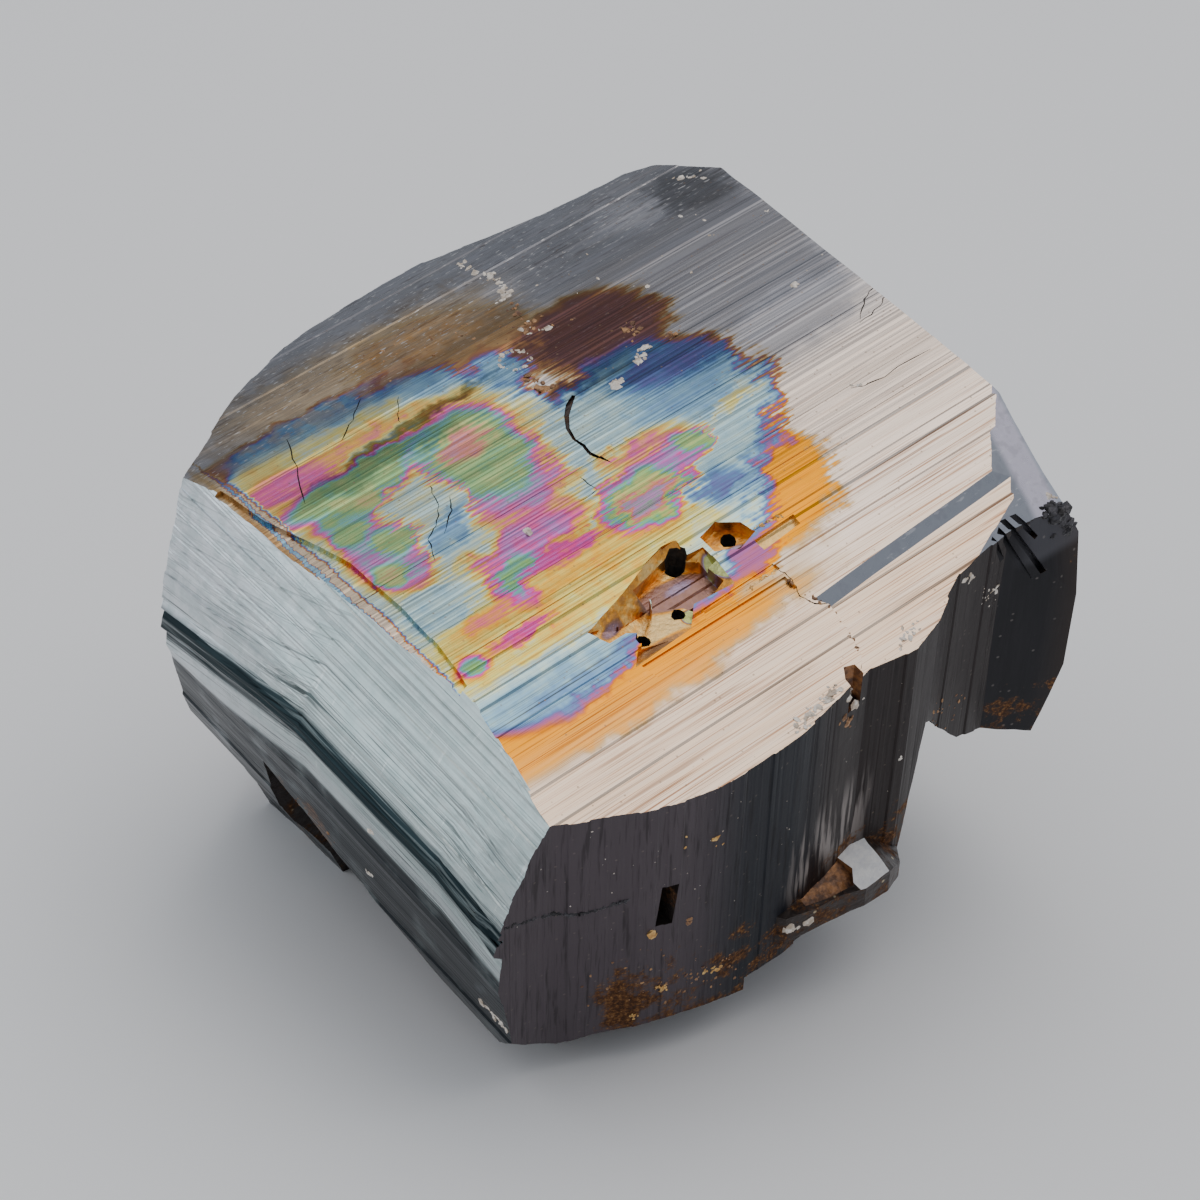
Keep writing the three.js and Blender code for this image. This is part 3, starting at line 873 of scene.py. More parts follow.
    def apply(self, crystal: Solid, block: MainBlock) -> None:
        """Cuts the steps, pits, holes and bevels.

        Args:
            crystal: The solid to cut.
            block: The block whose top face it has.
        """
        crystal.cut(self.left_strip.build(block))
        riser = block_beyond(self.front_riser, (0, -1, 1), relief=0.0, surface=Surface.BEVEL)
        crystal.cut(self.front_step.build(block).keep(riser))
        for number, facet in enumerate(self.facets):
            crystal.cut(facet.build(71 + number))
        for area in (self.grey_groove, self.hopper_floor, self.side_pit, self.shallow_pit, self.curved_crack):
            crystal.cut(area.build(block))
        for number, line in enumerate(self.fine_cracks):
            crystal.cut(self.fine_crack(line, 81 + number).build(block))
        for hole in self.holes:
            crystal.cut(hole.build(block))
        crystal.cut(block_beyond(self.front_bevel, (0, -1, 1), relief=0.0, surface=Surface.BEVEL))
        crystal.cut(block_beyond(self.corner_bevel, (1, 0, 1), relief=0.0, surface=Surface.BEVEL))

    def fine_crack(self, line: Line, seed: int) -> SunkenArea:
        """Turns a line into a narrow crack that wavers and tapers.

        Args:
            line: Where it runs, as (a, b).
            seed: Which pattern it has.

        Returns:
            The sunken area.
        """
        rng = np.random.default_rng(seed)
        corners = np.array(line, float)
        stops = np.linspace(0, len(corners) - 1, (len(corners) - 1) * 4 + 1)
        middle = np.stack([np.interp(stops, range(len(corners)), corners[:, k]) for k in (0, 1)], axis=1)
        middle[1:-1] += (rng.random((len(stops) - 2, 2)) - 0.5) * self.crack_stray
        along = np.gradient(middle, axis=0)
        across = np.stack([-along[:, 1], along[:, 0]], axis=1) / np.hypot(*along.T)[:, None]
        half = self.crack_width / 2 * (0.4 + rng.random(len(stops)))[:, None]
        half[[0, -1]] *= 0.3
        plan = np.concatenate([middle + across * half, (middle - across * half)[::-1]])
        # The crack takes the near-black hole finish, a painted shade
        return SunkenArea([tuple(point) for point in plan], self.crack_depth, Surface.HOLE)


@dataclass(frozen=True)
class FrontDamage:
    """The notch in the top edge of the front face, and the slot in the face."""

    notch: Line = ((18.1, -4.5), (18.2, -1.8), (18.6, -1.2), (19.2, -1.4), (19.5, -4.5))
    notch_bottom: float = -2.9
    slot_centre: Pair = (6.0, -9.4)
    slot_size: Pair = (0.9, 3.4)
    slot_turn: float = math.radians(5)
    slot_depth: float = 4.0

    def slot(self, block: MainBlock) -> Solid:
        """Makes the slot.

        Args:
            block: The block whose front face it is cut into.

        Returns:
            The space to cut away.
        """
        half_a, half_c = self.slot_size[0] / 2, self.slot_size[1] / 2
        b = float(height_at(block.front.profile, self.slot_centre[0]))
        cos, sin = math.cos(self.slot_turn), math.sin(self.slot_turn)
        corners = [(-half_a, -half_c), (half_a, -half_c), (half_a, half_c), (-half_a, half_c)]
        rings = []
        for depth in (b - self.slot_depth / 2, b + self.slot_depth / 2):
            rings.append([
                (self.slot_centre[0] + x * cos + z * sin, depth, self.slot_centre[1] - x * sin + z * cos)
                for x, z in corners
            ])
        return Solid(tube("slot", np.array(rings), [Surface.BROKEN.value] * 4))

    def apply(self, crystal: Solid, block: MainBlock) -> None:
        """Cuts the notch and the slot into a solid that has a block's front face."""
        crystal.cut(column(self.notch, self.notch_bottom, FAR, Surface.RUSTY))
        crystal.cut(self.slot(block))


@dataclass(frozen=True)
class Bite:
    """A piece broken from the underside: everything below a plane, inside a reach along a and b."""

    plane: Plane
    a: Pair
    b: Pair

    def build(self, seed: int) -> Solid:
        """Returns the space to cut away. The seed picks the pattern of its surface."""
        block = block_beyond(self.plane, (0, 0, -1), reach=32, relief=0.3, seed=seed)
        return block.keep(column_reach(self.a, self.b))


@dataclass(frozen=True)
class BrokenBase:
    """The broken underside and the flat patch that the crystal rests on."""

    stance: Stance = Stance()
    bites: tuple[Bite, ...] = (
        Bite(plane=((0.6, -0.3, -19.9), (11, -3.1, -21.2), (6, 6.5, -26.6)), a=(-12, 12.4), b=(-12, 9)),
        Bite(plane=((12, -3.1, -20.4), (24, -2, -21), (18, 0.5, -23.2)), a=(11.4, 34), b=(-12, 8)),
        Bite(plane=((-2.8, 0.1, -17), (0.6, -0.3, -19.9), (-2.3, 2.2, -19.7)), a=(-12, 3), b=(-12, 5)),
        Bite(plane=((-2.5, 14.5, -16.9), (-2.2, 5, -19.6), (6, 11, -25.6)), a=(-12, 8), b=(-12, 22)),
        Bite(plane=((4, 30.5, -32.4), (20, 34, -32), (12, 41, -22.5)), a=(-12, 40), b=(24, 52)),
        Bite(plane=((14, 30, -33), (27, 22, -31), (27, 34, -24)), a=(8, 40), b=(12, 52)),
    )

    def ground(self) -> Solid:
        """Returns everything under the ground, as a flat block."""
        up = self.stance.up()
        foot = -up * self.stance.ground_depth
        sideways = Vector((1, 0, 0)).cross(up).normalized()
        third = up.cross(sideways)
        plane = (tuple(foot), tuple(foot + sideways * 20), tuple(foot + third * 20))
        return block_beyond(plane, tuple(-up), reach=90, relief=0.0)

    def apply(self, crystal: Solid) -> None:
        """Breaks the underside of a solid and cuts it level with the ground."""
        for number, bite in enumerate(self.bites):
            crystal.cut(bite.build(61 + number))
        crystal.cut(self.ground())


Socket = bpy.types.NodeSocket
Feed = float | Triple | tuple[float, float, float, float] | Socket


class Graph:
    """A node tree with short ways to add nodes and feed their sockets."""

    def __init__(self, tree: bpy.types.NodeTree) -> None:
        """Wraps a node tree."""
        self.tree = tree

    def node(
        self, kind: str, feeds: dict[str | int, Feed] | None = None, **settings: object,
    ) -> bpy.types.Node:
        """Adds a node.

        Args:
            kind: Blender's name for it, without the ShaderNode in front.
            feeds: What its inputs get, by name or number.
            settings: Its own properties.

        Returns:
            The node.
        """
        made = self.tree.nodes.new("ShaderNode" + kind)
        for name, value in settings.items():
            setattr(made, name, value)
        for name, value in (feeds or {}).items():
            self.feed(made.inputs[name], value)
        return made

    def feed(self, socket: Socket, value: Feed) -> None:
        """Gives a socket a number, a colour or a link.

        Args:
            socket: The input.
            value: What it gets.
        """
        if isinstance(value, bpy.types.NodeSocket):
            self.tree.links.new(value, socket)
        elif socket.type == "RGBA" and len(value) == 3:
            socket.default_value = (*value, 1.0)
        else:
            socket.default_value = value

    def math(self, operation: str, *values: Feed) -> Socket:
        """Returns the result of one sum on up to three values."""
        return self.node("Math", dict(enumerate(values)), operation=operation).outputs[0]

    def times(self, first: Feed, *others: Feed) -> Feed:
        """Returns the product of the values."""
        for other in others:
            first = self.math("MULTIPLY", first, other)
        return first

    def plus(self, first: Feed, second: Feed) -> Socket:
        """Returns the sum of two values."""
        return self.math("ADD", first, second)

    def scaled(self, value: Feed, factor: Feed, offset: Feed) -> Socket:
        """Returns a value times a factor, plus an offset."""
        return self.math("MULTIPLY_ADD", value, factor, offset)

    def spread(self, value: Feed, low: Feed, high: Feed, to_low: Feed = 0.0, to_high: Feed = 1.0) -> Socket:
        """Carries a value smoothly from one range to another.

        Args:
            value: What is carried.
            low: Where the range starts.
            high: Where it ends.
            to_low: The result at the start.
            to_high: The result at the end.

        Returns:
            The result.
        """
        feeds = {"Value": value, "From Min": low, "From Max": high, "To Min": to_low, "To Max": to_high}
        return self.node("MapRange", feeds, interpolation_type="SMOOTHSTEP").outputs[0]

    def window(self, value: Feed, low: float, high: float, soft: float) -> Socket:
        """Marks where a value lies in a range.

        Args:
            value: What is looked at.
            low: The bottom of the range.
            high: The top of the range.
            soft: How wide the edges are.

        Returns:
            A mask, 1 in the range and 0 outside.
        """
        rise = self.spread(value, low - soft, low + soft)
        fall = self.spread(value, high - soft, high + soft, 1.0, 0.0)
        return self.times(rise, fall)

    def mix(self, share: Feed, first: Feed, second: Feed, blend: str = "MIX") -> Socket:
        """Mixes two colours.

        Args:
            share: How much of the second there is.
            first: The colour below.
            second: The colour above.
            blend: Blender's name for the way they mix.

        Returns:
            The mixed colour.
        """
        made = self.node("Mix", data_type="RGBA", blend_type=blend)
        self.feed(made.inputs[0], share)
        self.feed(made.inputs[6], first)
        self.feed(made.inputs[7], second)
        return made.outputs[2]

    def tint(self, base: Feed, colour: Feed, *shares: Feed) -> Socket:
        """Returns a base with a colour laid over it, as much as the product of the shares."""
        return self.mix(self.times(*shares), base, colour)

    def shade(self, base: Feed, colour: Feed, *shares: Feed) -> Socket:
        """Returns a base multiplied by a colour, as much as the product of the shares."""
        return self.mix(self.times(*shares), base, colour, "MULTIPLY")

    def blend(self, share: Feed, first: Feed, second: Feed) -> Socket:
        """Returns a number between two others."""
        return self.node("Mix", {0: share, 2: first, 3: second}, data_type="FLOAT").outputs[0]

    def vector(self, x: Feed, y: Feed, z: Feed) -> Socket:
        """Returns a vector of three numbers."""
        return self.node("CombineXYZ", {0: x, 1: y, 2: z}).outputs[0]

    def split(self, vector: Socket) -> tuple[Socket, Socket, Socket]:
        """Returns the three numbers of a vector."""
        outputs = self.node("SeparateXYZ", {0: vector}).outputs
        return outputs[0], outputs[1], outputs[2]

    def cloud(self, place: Socket, scale: float, detail: float = 2.0, roughness: float = 0.5) -> Socket:
        """Returns a noise value that changes over a place in millimetres, scale times in each."""
        feeds = {"Vector": place, "Scale": scale, "Detail": detail, "Roughness": roughness}
        return self.node("TexNoise", feeds).outputs[0]

    def stretched(self, place: Socket, scales: Triple, detail: float = 2.0) -> Socket:
        """Returns a noise value with its own scale along each axis."""
        scaled = self.node("VectorMath", {0: place, 1: scales}, operation="MULTIPLY").outputs[0]
        return self.cloud(scaled, 1.0, detail)

    def ramp(self, value: Socket, stops: Stops) -> Socket:
        """Turns a value into a colour.

        Args:
            value: A value from 0 to 1.
            stops: Places and colours, in rising order.

        Returns:
            The colour.
        """
        made = self.node("ValToRGB", {0: value})
        band = made.color_ramp
        while len(band.elements) < len(stops):
            band.elements.new(1.0)
        for element, (place, colour) in zip(band.elements, stops):
            element.position = place
            element.color = (*colour, 1.0)
        return made.outputs[0]

    def use(self, group: bpy.types.NodeTree, **feeds: Feed) -> bpy.types.bpy_prop_collection:
        """Places a shared group, feeds its inputs by name, and returns its outputs."""
        return self.node("Group", feeds, node_tree=group).outputs


def new_group(
    name: str, inputs: dict[str, str], outputs: dict[str, str],
) -> tuple[Graph, bpy.types.Node, bpy.types.Node]:
    """Starts a shared node group.

    Args:
        name: What to call it.
        inputs: Its named inputs, each with Float, Vector or Color.
        outputs: Its named outputs, likewise.

    Returns:
        The graph to fill, the node that gives its inputs and the node that takes its outputs.
    """
    tree = bpy.data.node_groups.new(name, "ShaderNodeTree")
    for title, kind in inputs.items():
        tree.interface.new_socket(title, in_out="INPUT", socket_type="NodeSocket" + kind)
    for title, kind in outputs.items():
        tree.interface.new_socket(title, in_out="OUTPUT", socket_type="NodeSocket" + kind)
    return Graph(tree), tree.nodes.new("NodeGroupInput"), tree.nodes.new("NodeGroupOutput")


@dataclass
class SharedEffects:
    """The node groups that several finishes use."""

    stance: Stance = Stance()

    def __post_init__(self) -> None:
        """Makes the groups."""
        self.place = self._place()
        self.striae = self._striae()
        self.island = self._island()
        self.rust = self._rust()
        self.grain = self._grain()

    def _place(self) -> bpy.types.NodeTree:
        """Returns the group that gives the place in crystal axes, in millimetres."""
        outputs = {"Place": "Vector", "a": "Float", "b": "Float", "c": "Float"}
        graph, _, ends = new_group("crystal_place", {}, outputs)
        object_place = graph.node("TexCoord").outputs["Object"]
        shift = (*self.stance.shift, self.stance.ground_depth)
        in_mm = graph.node("VectorMath", {0: object_place, 1: (1 / MM,) * 3}, operation="MULTIPLY").outputs[0]
        moved = graph.node("VectorMath", {0: in_mm, 1: shift}, operation="SUBTRACT").outputs[0]
        axis, angle = self.stance.turn().to_quaternion().to_axis_angle()
        feeds = {"Vector": moved, "Axis": tuple(axis), "Angle": -angle}
        turned = graph.node("VectorRotate", feeds).outputs[0]
        a, b, c = graph.split(turned)
        for name, value in (("Place", turned), ("a", a), ("b", b), ("c", c)):
            graph.feed(ends.inputs[name], value)
        return graph.tree

    def _striae(self) -> bpy.types.NodeTree:
        """Returns the group for fine parallel lines on a grown face."""
        graph, starts, ends = new_group(
            "striae",
            {"Across": "Float", "Along": "Float", "Density": "Float", "Seed": "Float"},
            {"Tone": "Float", "Lines": "Float", "Height": "Float"},
        )
        across = graph.times(starts.outputs["Across"], starts.outputs["Density"])
        along = starts.outputs["Along"]
        seed = starts.outputs["Seed"]

        def drawn_out(close: float, short: float, *look: float) -> Socket:
            """Returns a noise value drawn out along the lines."""
            place = graph.vector(graph.times(across, close), graph.times(along, short), seed)
            return graph.cloud(place, 1.0, *look)

        broad = drawn_out(0.5, 0.07, 3.0)
        fine = drawn_out(2.2, 0.16, 3.0, 0.6)
        hair = drawn_out(5.5, 0.3, 1.0)
        tone = graph.plus(graph.times(broad, 0.5), graph.times(fine, 0.5))
        graph.feed(ends.inputs["Tone"], graph.spread(tone, 0.34, 0.66))
        deep = graph.spread(fine, 0.56, 0.66)
        thin = graph.spread(hair, 0.6, 0.68)
        graph.feed(ends.inputs["Lines"], graph.math("MAXIMUM", deep, graph.times(thin, 0.6)))
        height = graph.plus(graph.times(fine, 0.6), graph.times(hair, 0.4))
        graph.feed(ends.inputs["Height"], height)
        return graph.tree

    def _island(self) -> bpy.types.NodeTree:
        """Returns the group that lays one island of tarnish film over what is below it."""
        graph, starts, ends = new_group(
            "film_island",
            {
                "Below": "Float", "Place": "Vector", "Scale": "Vector", "Shift": "Vector",
                "Inner": "Float", "Outer": "Float", "Thickness": "Float",
            },
            {"Film": "Float"},
        )
        inputs = starts.outputs
        # The tiny share of Below makes a long chain of films run one by one, which the renderer needs
        chained = graph.node(
            "VectorMath", {0: inputs["Below"], 1: (1e-6,) * 3, 2: inputs["Place"]}, operation="MULTIPLY_ADD",
        ).outputs[0]
        moved = graph.node(
            "VectorMath", {0: chained, 1: inputs["Scale"], 2: inputs["Shift"]}, operation="MULTIPLY_ADD",
        ).outputs[0]
        reach = graph.node("VectorMath", {0: moved}, operation="LENGTH").outputs["Value"]
        share = graph.spread(reach, inputs["Inner"], inputs["Outer"], 1.0, 0.0)
        graph.feed(ends.inputs["Film"], graph.blend(share, inputs["Below"], inputs["Thickness"]))
        return graph.tree

    def _rust(self) -> bpy.types.NodeTree:
        """Returns the group for rust that gathers where it is told to."""
        graph, starts, ends = new_group(
            "rust",
            {"Base": "Color", "Place": "Vector", "Amount": "Float"},
            {"Color": "Color", "Mask": "Float"},
        )
        place = starts.outputs["Place"]
        patches = graph.cloud(place, 0.55, 4.0, 0.62)
        grains = graph.cloud(place, 4.5, 3.0, 0.7)
        level = graph.plus(graph.times(patches, 0.8), graph.times(grains, 0.2))
        threshold = graph.math("SUBTRACT", 0.70, graph.times(starts.outputs["Amount"], 0.42))
        mask = graph.spread(level, threshold, graph.plus(threshold, 0.13))
        colour = graph.ramp(grains, (
            (0.3, (0.022, 0.012, 0.008)), (0.45, (0.07, 0.03, 0.014)), (0.58, (0.16, 0.07, 0.026)),
            (0.72, (0.34, 0.18, 0.07)),
        ))
        graph.feed(ends.inputs["Color"], graph.mix(mask, starts.outputs["Base"], colour))
        graph.feed(ends.inputs["Mask"], mask)
        return graph.tree

    def _grain(self) -> bpy.types.NodeTree:
        """Returns the group for tiny pits, specks and dust."""
        graph, starts, ends = new_group(
            "grain", {"Place": "Vector", "Scale": "Float"}, {"Specks": "Float", "Height": "Float"},
        )
        feeds = {"Vector": starts.outputs["Place"], "Scale": starts.outputs["Scale"], "Randomness": 1.0}
        cells = graph.node("TexVoronoi", feeds)
        near = graph.spread(cells.outputs["Distance"], 0.1, 0.24, 1.0, 0.0)
        chosen = graph.spread(graph.split(cells.outputs["Color"])[0], 0.8, 0.84)
        graph.feed(ends.inputs["Specks"], graph.times(near, chosen))
        rough = graph.node("TexNoise", {
            "Vector": starts.outputs["Place"], "Scale": starts.outputs["Scale"], "Detail": 3.0,
        }).outputs[0]
        graph.feed(ends.inputs["Height"], rough)
        return graph.tree


@dataclass(frozen=True)
class Film:
    """One island of tarnish film on the top face. Thickness runs from 0, bare, to 1, many colours thick."""

    centre: Pair
    radii: Pair
    thickness: float
    softness: float = 0.6
    turn: float = 0.0


@dataclass(frozen=True)
class Shell:
    """What a finish sets on its shader for the whole surface, and how strong its relief is."""

    metallic: float = 1.0
    bump: float = 0.5
    bump_depth: float = 2e-5
    specular: float = 0.5


class Coat(Graph):
    """The node tree of one material of the crystal, which knows the place in crystal axes."""

    def __init__(self, name: str, effects: SharedEffects) -> None:
        """Starts a material.

        Args:
            name: What to call it.
            effects: The shared groups.
        """
        self.material = bpy.data.materials.new(name)
        self.material.use_nodes = True
        super().__init__(self.material.node_tree)
        self.where = self.use(effects.place)
        self.a, self.b, self.c, self.place = (self.where[title] for title in ("a", "b", "c", "Place"))

    def close(self, shell: Shell, colour: Feed, roughness: Feed, height: Socket) -> bpy.types.Material:
        """Joins colour, roughness and relief to the shader.

        Args:
            shell: What is the same all over the surface.
            colour: The base colour.
            roughness: The roughness.
            height: The relief.

        Returns:
            The finished material.
        """
        shader = self.tree.nodes["Principled BSDF"]
        self.feed(shader.inputs["Base Color"], colour)
        self.feed(shader.inputs["Roughness"], roughness)
        shader.inputs["Metallic"].default_value = shell.metallic
        shader.inputs["Specular IOR Level"].default_value = shell.specular
        bump = self.node("Bump", {"Height": height, "Strength": shell.bump, "Distance": shell.bump_depth})
        self.feed(shader.inputs["Normal"], bump.outputs[0])
        return self.material


# The colour of the film by its thickness
FILM_COLOURS: Stops = (
    (0.00, (0.62, 0.60, 0.61)),
    (0.06, (0.66, 0.60, 0.55)),
    (0.12, (0.56, 0.40, 0.22)),
    (0.165, (0.90, 0.36, 0.03)),
    (0.21, (0.50, 0.17, 0.12)),
    (0.25, (0.34, 0.14, 0.30)),
    (0.285, (0.17, 0.18, 0.38)),
    (0.32, (0.16, 0.27, 0.46)),
    (0.37, (0.29, 0.46, 0.58)),
    (0.42, (0.50, 0.66, 0.64)),
    (0.47, (0.76, 0.68, 0.24)),
    (0.52, (0.86, 0.46, 0.12)),
    (0.57, (0.74, 0.13, 0.34)),
    (0.61, (0.46, 0.20, 0.50)),
    (0.65, (0.16, 0.42, 0.42)),
    (0.69, (0.25, 0.46, 0.19)),
    (0.74, (0.48, 0.52, 0.20)),
    (0.785, (0.72, 0.26, 0.22)),
    (0.83, (0.46, 0.28, 0.48)),
    (0.87, (0.22, 0.42, 0.24)),
    (0.92, (0.56, 0.38, 0.20)),
    (1.00, (0.50, 0.36, 0.32)),
)


def lay(graph: Graph, effects: SharedEffects, films: tuple[Film, ...], below: Feed, place: Socket) -> Socket:
    """Lays films over one another.

    Args:
        graph: The material's tree.
        effects: The shared groups.
        films: The films, the lowest first.
        below: The value under all of them.
        place: The place, already bent out of shape.

    Returns:
        The value on top.
    """
    value = below
    turned = {0.0: place}
    for film in films:
        angle = math.radians(film.turn)
        if film.turn not in turned:
            turned[film.turn] = graph.node(
                "VectorRotate", {"Vector": place, "Angle": -angle}, rotation_type="Z_AXIS").outputs[0]
        x, y = film.centre
        along, across = x * math.cos(angle) + y * math.sin(angle), y * math.cos(angle) - x * math.sin(angle)
        long, wide = film.radii
        value = graph.use(
            effects.island, Below=value, Place=turned[film.turn], Thickness=film.thickness,
            Scale=(1 / long, 1 / wide, 0.0), Shift=(-along / long, -across / wide, 0.0),
            Inner=max(0.0, 1 - film.softness / 2), Outer=1 + film.softness / 2,
        )["Film"]
    return value


@dataclass(frozen=True)
class TarnishedTop:
    """The top face: fine lines under a film whose colours follow its thickness."""

    films: tuple[Film, ...] = (
        # Thin bronze film at the back, brown beside it, and orange along the front and right of the pit
        Film((12, 33.0), (10.5, 3.0), 0.10, 0.7),
        Film((16.5, 30.8), (5.6, 3.4), 0.13, 0.5, -20),
        Film((23.4, 25.4), (4.4, 3.4), 0.215, 0.5, -8),
        Film((7, 4.1), (15, 2.0), 0.163, 0.9),
        Film((22.6, 10.2), (4.2, 4.9), 0.163, 0.5),
        # The wide film of the left half, brown and blue at its rim
        Film((5.6, 25.6), (6.6, 5.6), 0.435, 0.26),
        Film((3.6, 21.0), (5.6, 8.6), 0.435, 0.26),
        Film((12.4, 22.3), (5.6, 7.2), 0.43, 0.34, 20),
        Film((5.0, 11.4), (7.4, 6.6), 0.43, 0.26),
        Film((13.8, 12.8), (9.0, 7.0), 0.43, 0.26, -8),
        Film((21.4, 17.0), (7.2, 6.0), 0.40, 0.34, 20),
        Film((19.4, 18.9), (2.0, 2.6), 0.405, 0.8),
        Film((24.0, 18.6), (3.4, 2.4), 0.35, 0.9),
        Film((24.6, 20.6), (3.6, 1.5), 0.29, 0.9, -8),
        Film((17.6, 26.4), (1.6, 1.5), 0.36, 0.9),
        Film((9.6, 10.8), (9.4, 2.3), 0.485, 0.7),
        # Back left: blue, pale yellow, then magenta and tan
        Film((6.5, 30.6), (5.8, 0.8), 0.345, 1.1),
        Film((8.6, 29.4), (3.0, 0.5), 0.375, 1.0),
        Film((2.6, 28.5), (2.8, 0.8), 0.475, 0.9),
        Film((9.2, 28.2), (4.0, 0.7), 0.46, 1.0),
        Film((13.6, 28.3), (2.0, 1.2), 0.36, 0.9, -20),
        Film((3.1, 26.7), (3.4, 1.15), 0.575, 0.8),
        Film((8.6, 27.0), (3.6, 0.7), 0.53, 1.1),
        Film((13.2, 26.4), (2.6, 0.6), 0.455, 1.0),
        # Green band, then the green ring round a pink heart
        Film((7.6, 24.4), (6.8, 1.35), 0.70, 0.6),
        Film((4.8, 22.8), (2.6, 0.9), 0.745, 0.9),
        Film((12.5, 20.9), (3.5, 5.3), 0.60, 0.7, -8),
        Film((12.4, 21.8), (2.7, 3.6), 0.70, 0.5, -8),
        Film((12.3, 22.9), (1.6, 1.3), 0.79, 0.9),
        # Mottled corner by the left edge, and the pale patch with the branching blue mark
        Film((4.0, 19.3), (1.9, 3.6), 0.62, 0.8),
        Film((3.4, 21.4), (1.1, 0.9), 0.70, 0.8),
        Film((4.9, 19.5), (1.0, 0.9), 0.71, 0.8),
        Film((3.2, 17.5), (0.8, 0.9), 0.74, 0.9),
        Film((8.1, 19.6), (1.9, 2.6), 0.43, 0.7),
        Film((7.9, 18.3), (2.2, 0.9), 0.345, 1.0, 36),
        # Middle: pale blue square, lilac, green streak and magenta
        Film((3.6, 14.1), (1.9, 1.6), 0.40, 0.25),
        Film((10.3, 14.9), (3.6, 1.2), 0.60, 0.9),
        Film((8.3, 13.1), (1.7, 2.3), 0.58, 0.8, -35),
        Film((8.5, 13.2), (0.9, 1.5), 0.68, 0.9, -35),
        Film((11.3, 12.9), (2.2, 0.8), 0.58, 0.9),
        Film((11.0, 11.3), (3.0, 1.0), 0.50, 1.0, 4),
        Film((5.0, 11.8), (1.8, 0.6), 0.53, 0.9),
        Film((5.8, 9.8), (1.9, 0.5), 0.58, 0.9, 4),
        Film((2.5, 9.6), (1.1, 0.95), 0.54, 0.6),
        Film((2.5, 9.6), (0.6, 0.6), 0.68, 0.9),
        Film((5.6, 8.6), (4.6, 0.5), 0.48, 1.2),
        # The loop of close rings behind the pit
        Film((17.3, 13.5), (3.3, 2.2), 0.62, 0.5, 20),
        Film((20.8, 14.7), (2.2, 1.2), 0.61, 0.6, 20),
        Film((17.1, 13.2), (2.4, 1.5), 0.75, 0.5, 20),
        Film((16.9, 13.0), (1.6, 0.8), 0.84, 0.7, 20),
        Film((21.8, 14.9), (0.9, 0.7), 0.70, 0.9),
        Film((19.3, 16.4), (2.6, 0.7), 0.56, 1.2),
        Film((25.3, 15.8), (1.9, 0.45), 0.46, 1.0, 20),
        Film((20.7, 11.3), (1.4, 1.3), 0.30, 0.9),
        # In front of the pit: blue, then lilac pink
        Film((4.6, 6.6), (6.4, 0.9), 0.375, 0.9),
        Film((7.0, 5.7), (4.6, 0.45), 0.33, 1.1),
        Film((18.6, 6.6), (1.7, 1.1), 0.245, 1.0),
        # The narrow strip along the left edge
        Film((0.2, 18), (1.15, 13.4), 0.09, 0.25),
        Film((0.15, 18), (0.3, 13.4), 0.13, 0.8),
        Film((0.62, 18), (0.16, 12.6), 0.37, 0.6),
    )
    painted_shades: tuple[Film, ...] = (
        # Painted shade: where the face is darker than the rest, from 0, black, to 1
        Film((20, 37.5), (36, 9.0), 0.50, 0.4),
        Film((31, 26), (9, 9), 0.42, 0.6),
        Film((33, 32.8), (3.4, 2.2), 0.62, 0.9),
        Film((32.4, 19), (4.4, 2.0), 0.62, 0.8),
        Film((36.0, 32.2), (2.4, 2.6), 0.22, 0.7),
        Film((13, 32.6), (9, 2.6), 0.86, 0.9),
        Film((23.6, 25.3), (4.6, 3.4), 0.36, 0.6, -8),
        Film((24.5, 21.4), (4.6, 1.6), 0.45, 1.0, -8),
        Film((10.5, 26.0), (7.5, 0.3), 0.34, 1.2, 4),
        Film((21.6, 22.6), (3.6, 0.5), 0.3, 1.2),
        Film((8.0, 24.8), (5.6, 0.8), 0.55, 1.0),
    )
    shell: Shell = Shell(bump=0.5, bump_depth=1.6e-5)

    def fields(self, graph: Coat, effects: SharedEffects) -> tuple[Socket, Socket]:
        """Works out the film and the painted shade, both combed out along the lines of the face.

        Args:
            graph: The material's tree.
            effects: The shared groups.

        Returns:
            The thickness of the film, and how light the painted shade leaves the face.
        """
        a, b, place = graph.a, graph.b, graph.place
        combed = graph.stretched(place, (0.2, 5.0, 0.0), 1.0)
        ragged = graph.cloud(place, 0.6, 1.0)
        fine = graph.cloud(place, 2.6, 1.0)
        away = graph.spread(a, 1.6, 6.0, 0.15, 1.0)
        shift_a = graph.plus(graph.scaled(combed, 2.6, -1.3), graph.scaled(ragged, 2.6, -1.3))
        shift_a = graph.plus(shift_a, graph.scaled(fine, 0.9, -0.45))
        shift_b = graph.plus(graph.scaled(ragged, -1.9, 0.95), graph.scaled(fine, -0.5, 0.25))
        warped = graph.vector(
            graph.scaled(shift_a, away, a), graph.scaled(shift_b, away, b), 0.0)
        bare = graph.scaled(graph.stretched(place, (0.1, 0.7, 0.0)), 0.07, -0.01)
        film = lay(graph, effects, self.films, bare, warped)
        streaks = graph.scaled(graph.stretched(place, (0.3, 5.5, 0.0), 2.0), 0.09, -0.045)
        streaks = graph.scaled(graph.cloud(place, 1.1, 2.0), 0.09, graph.plus(streaks, -0.045))
        film = graph.plus(film, graph.times(streaks, graph.spread(film, 0.05, 0.5)))
        return film, lay(graph, effects, self.painted_shades, 1.0, warped)

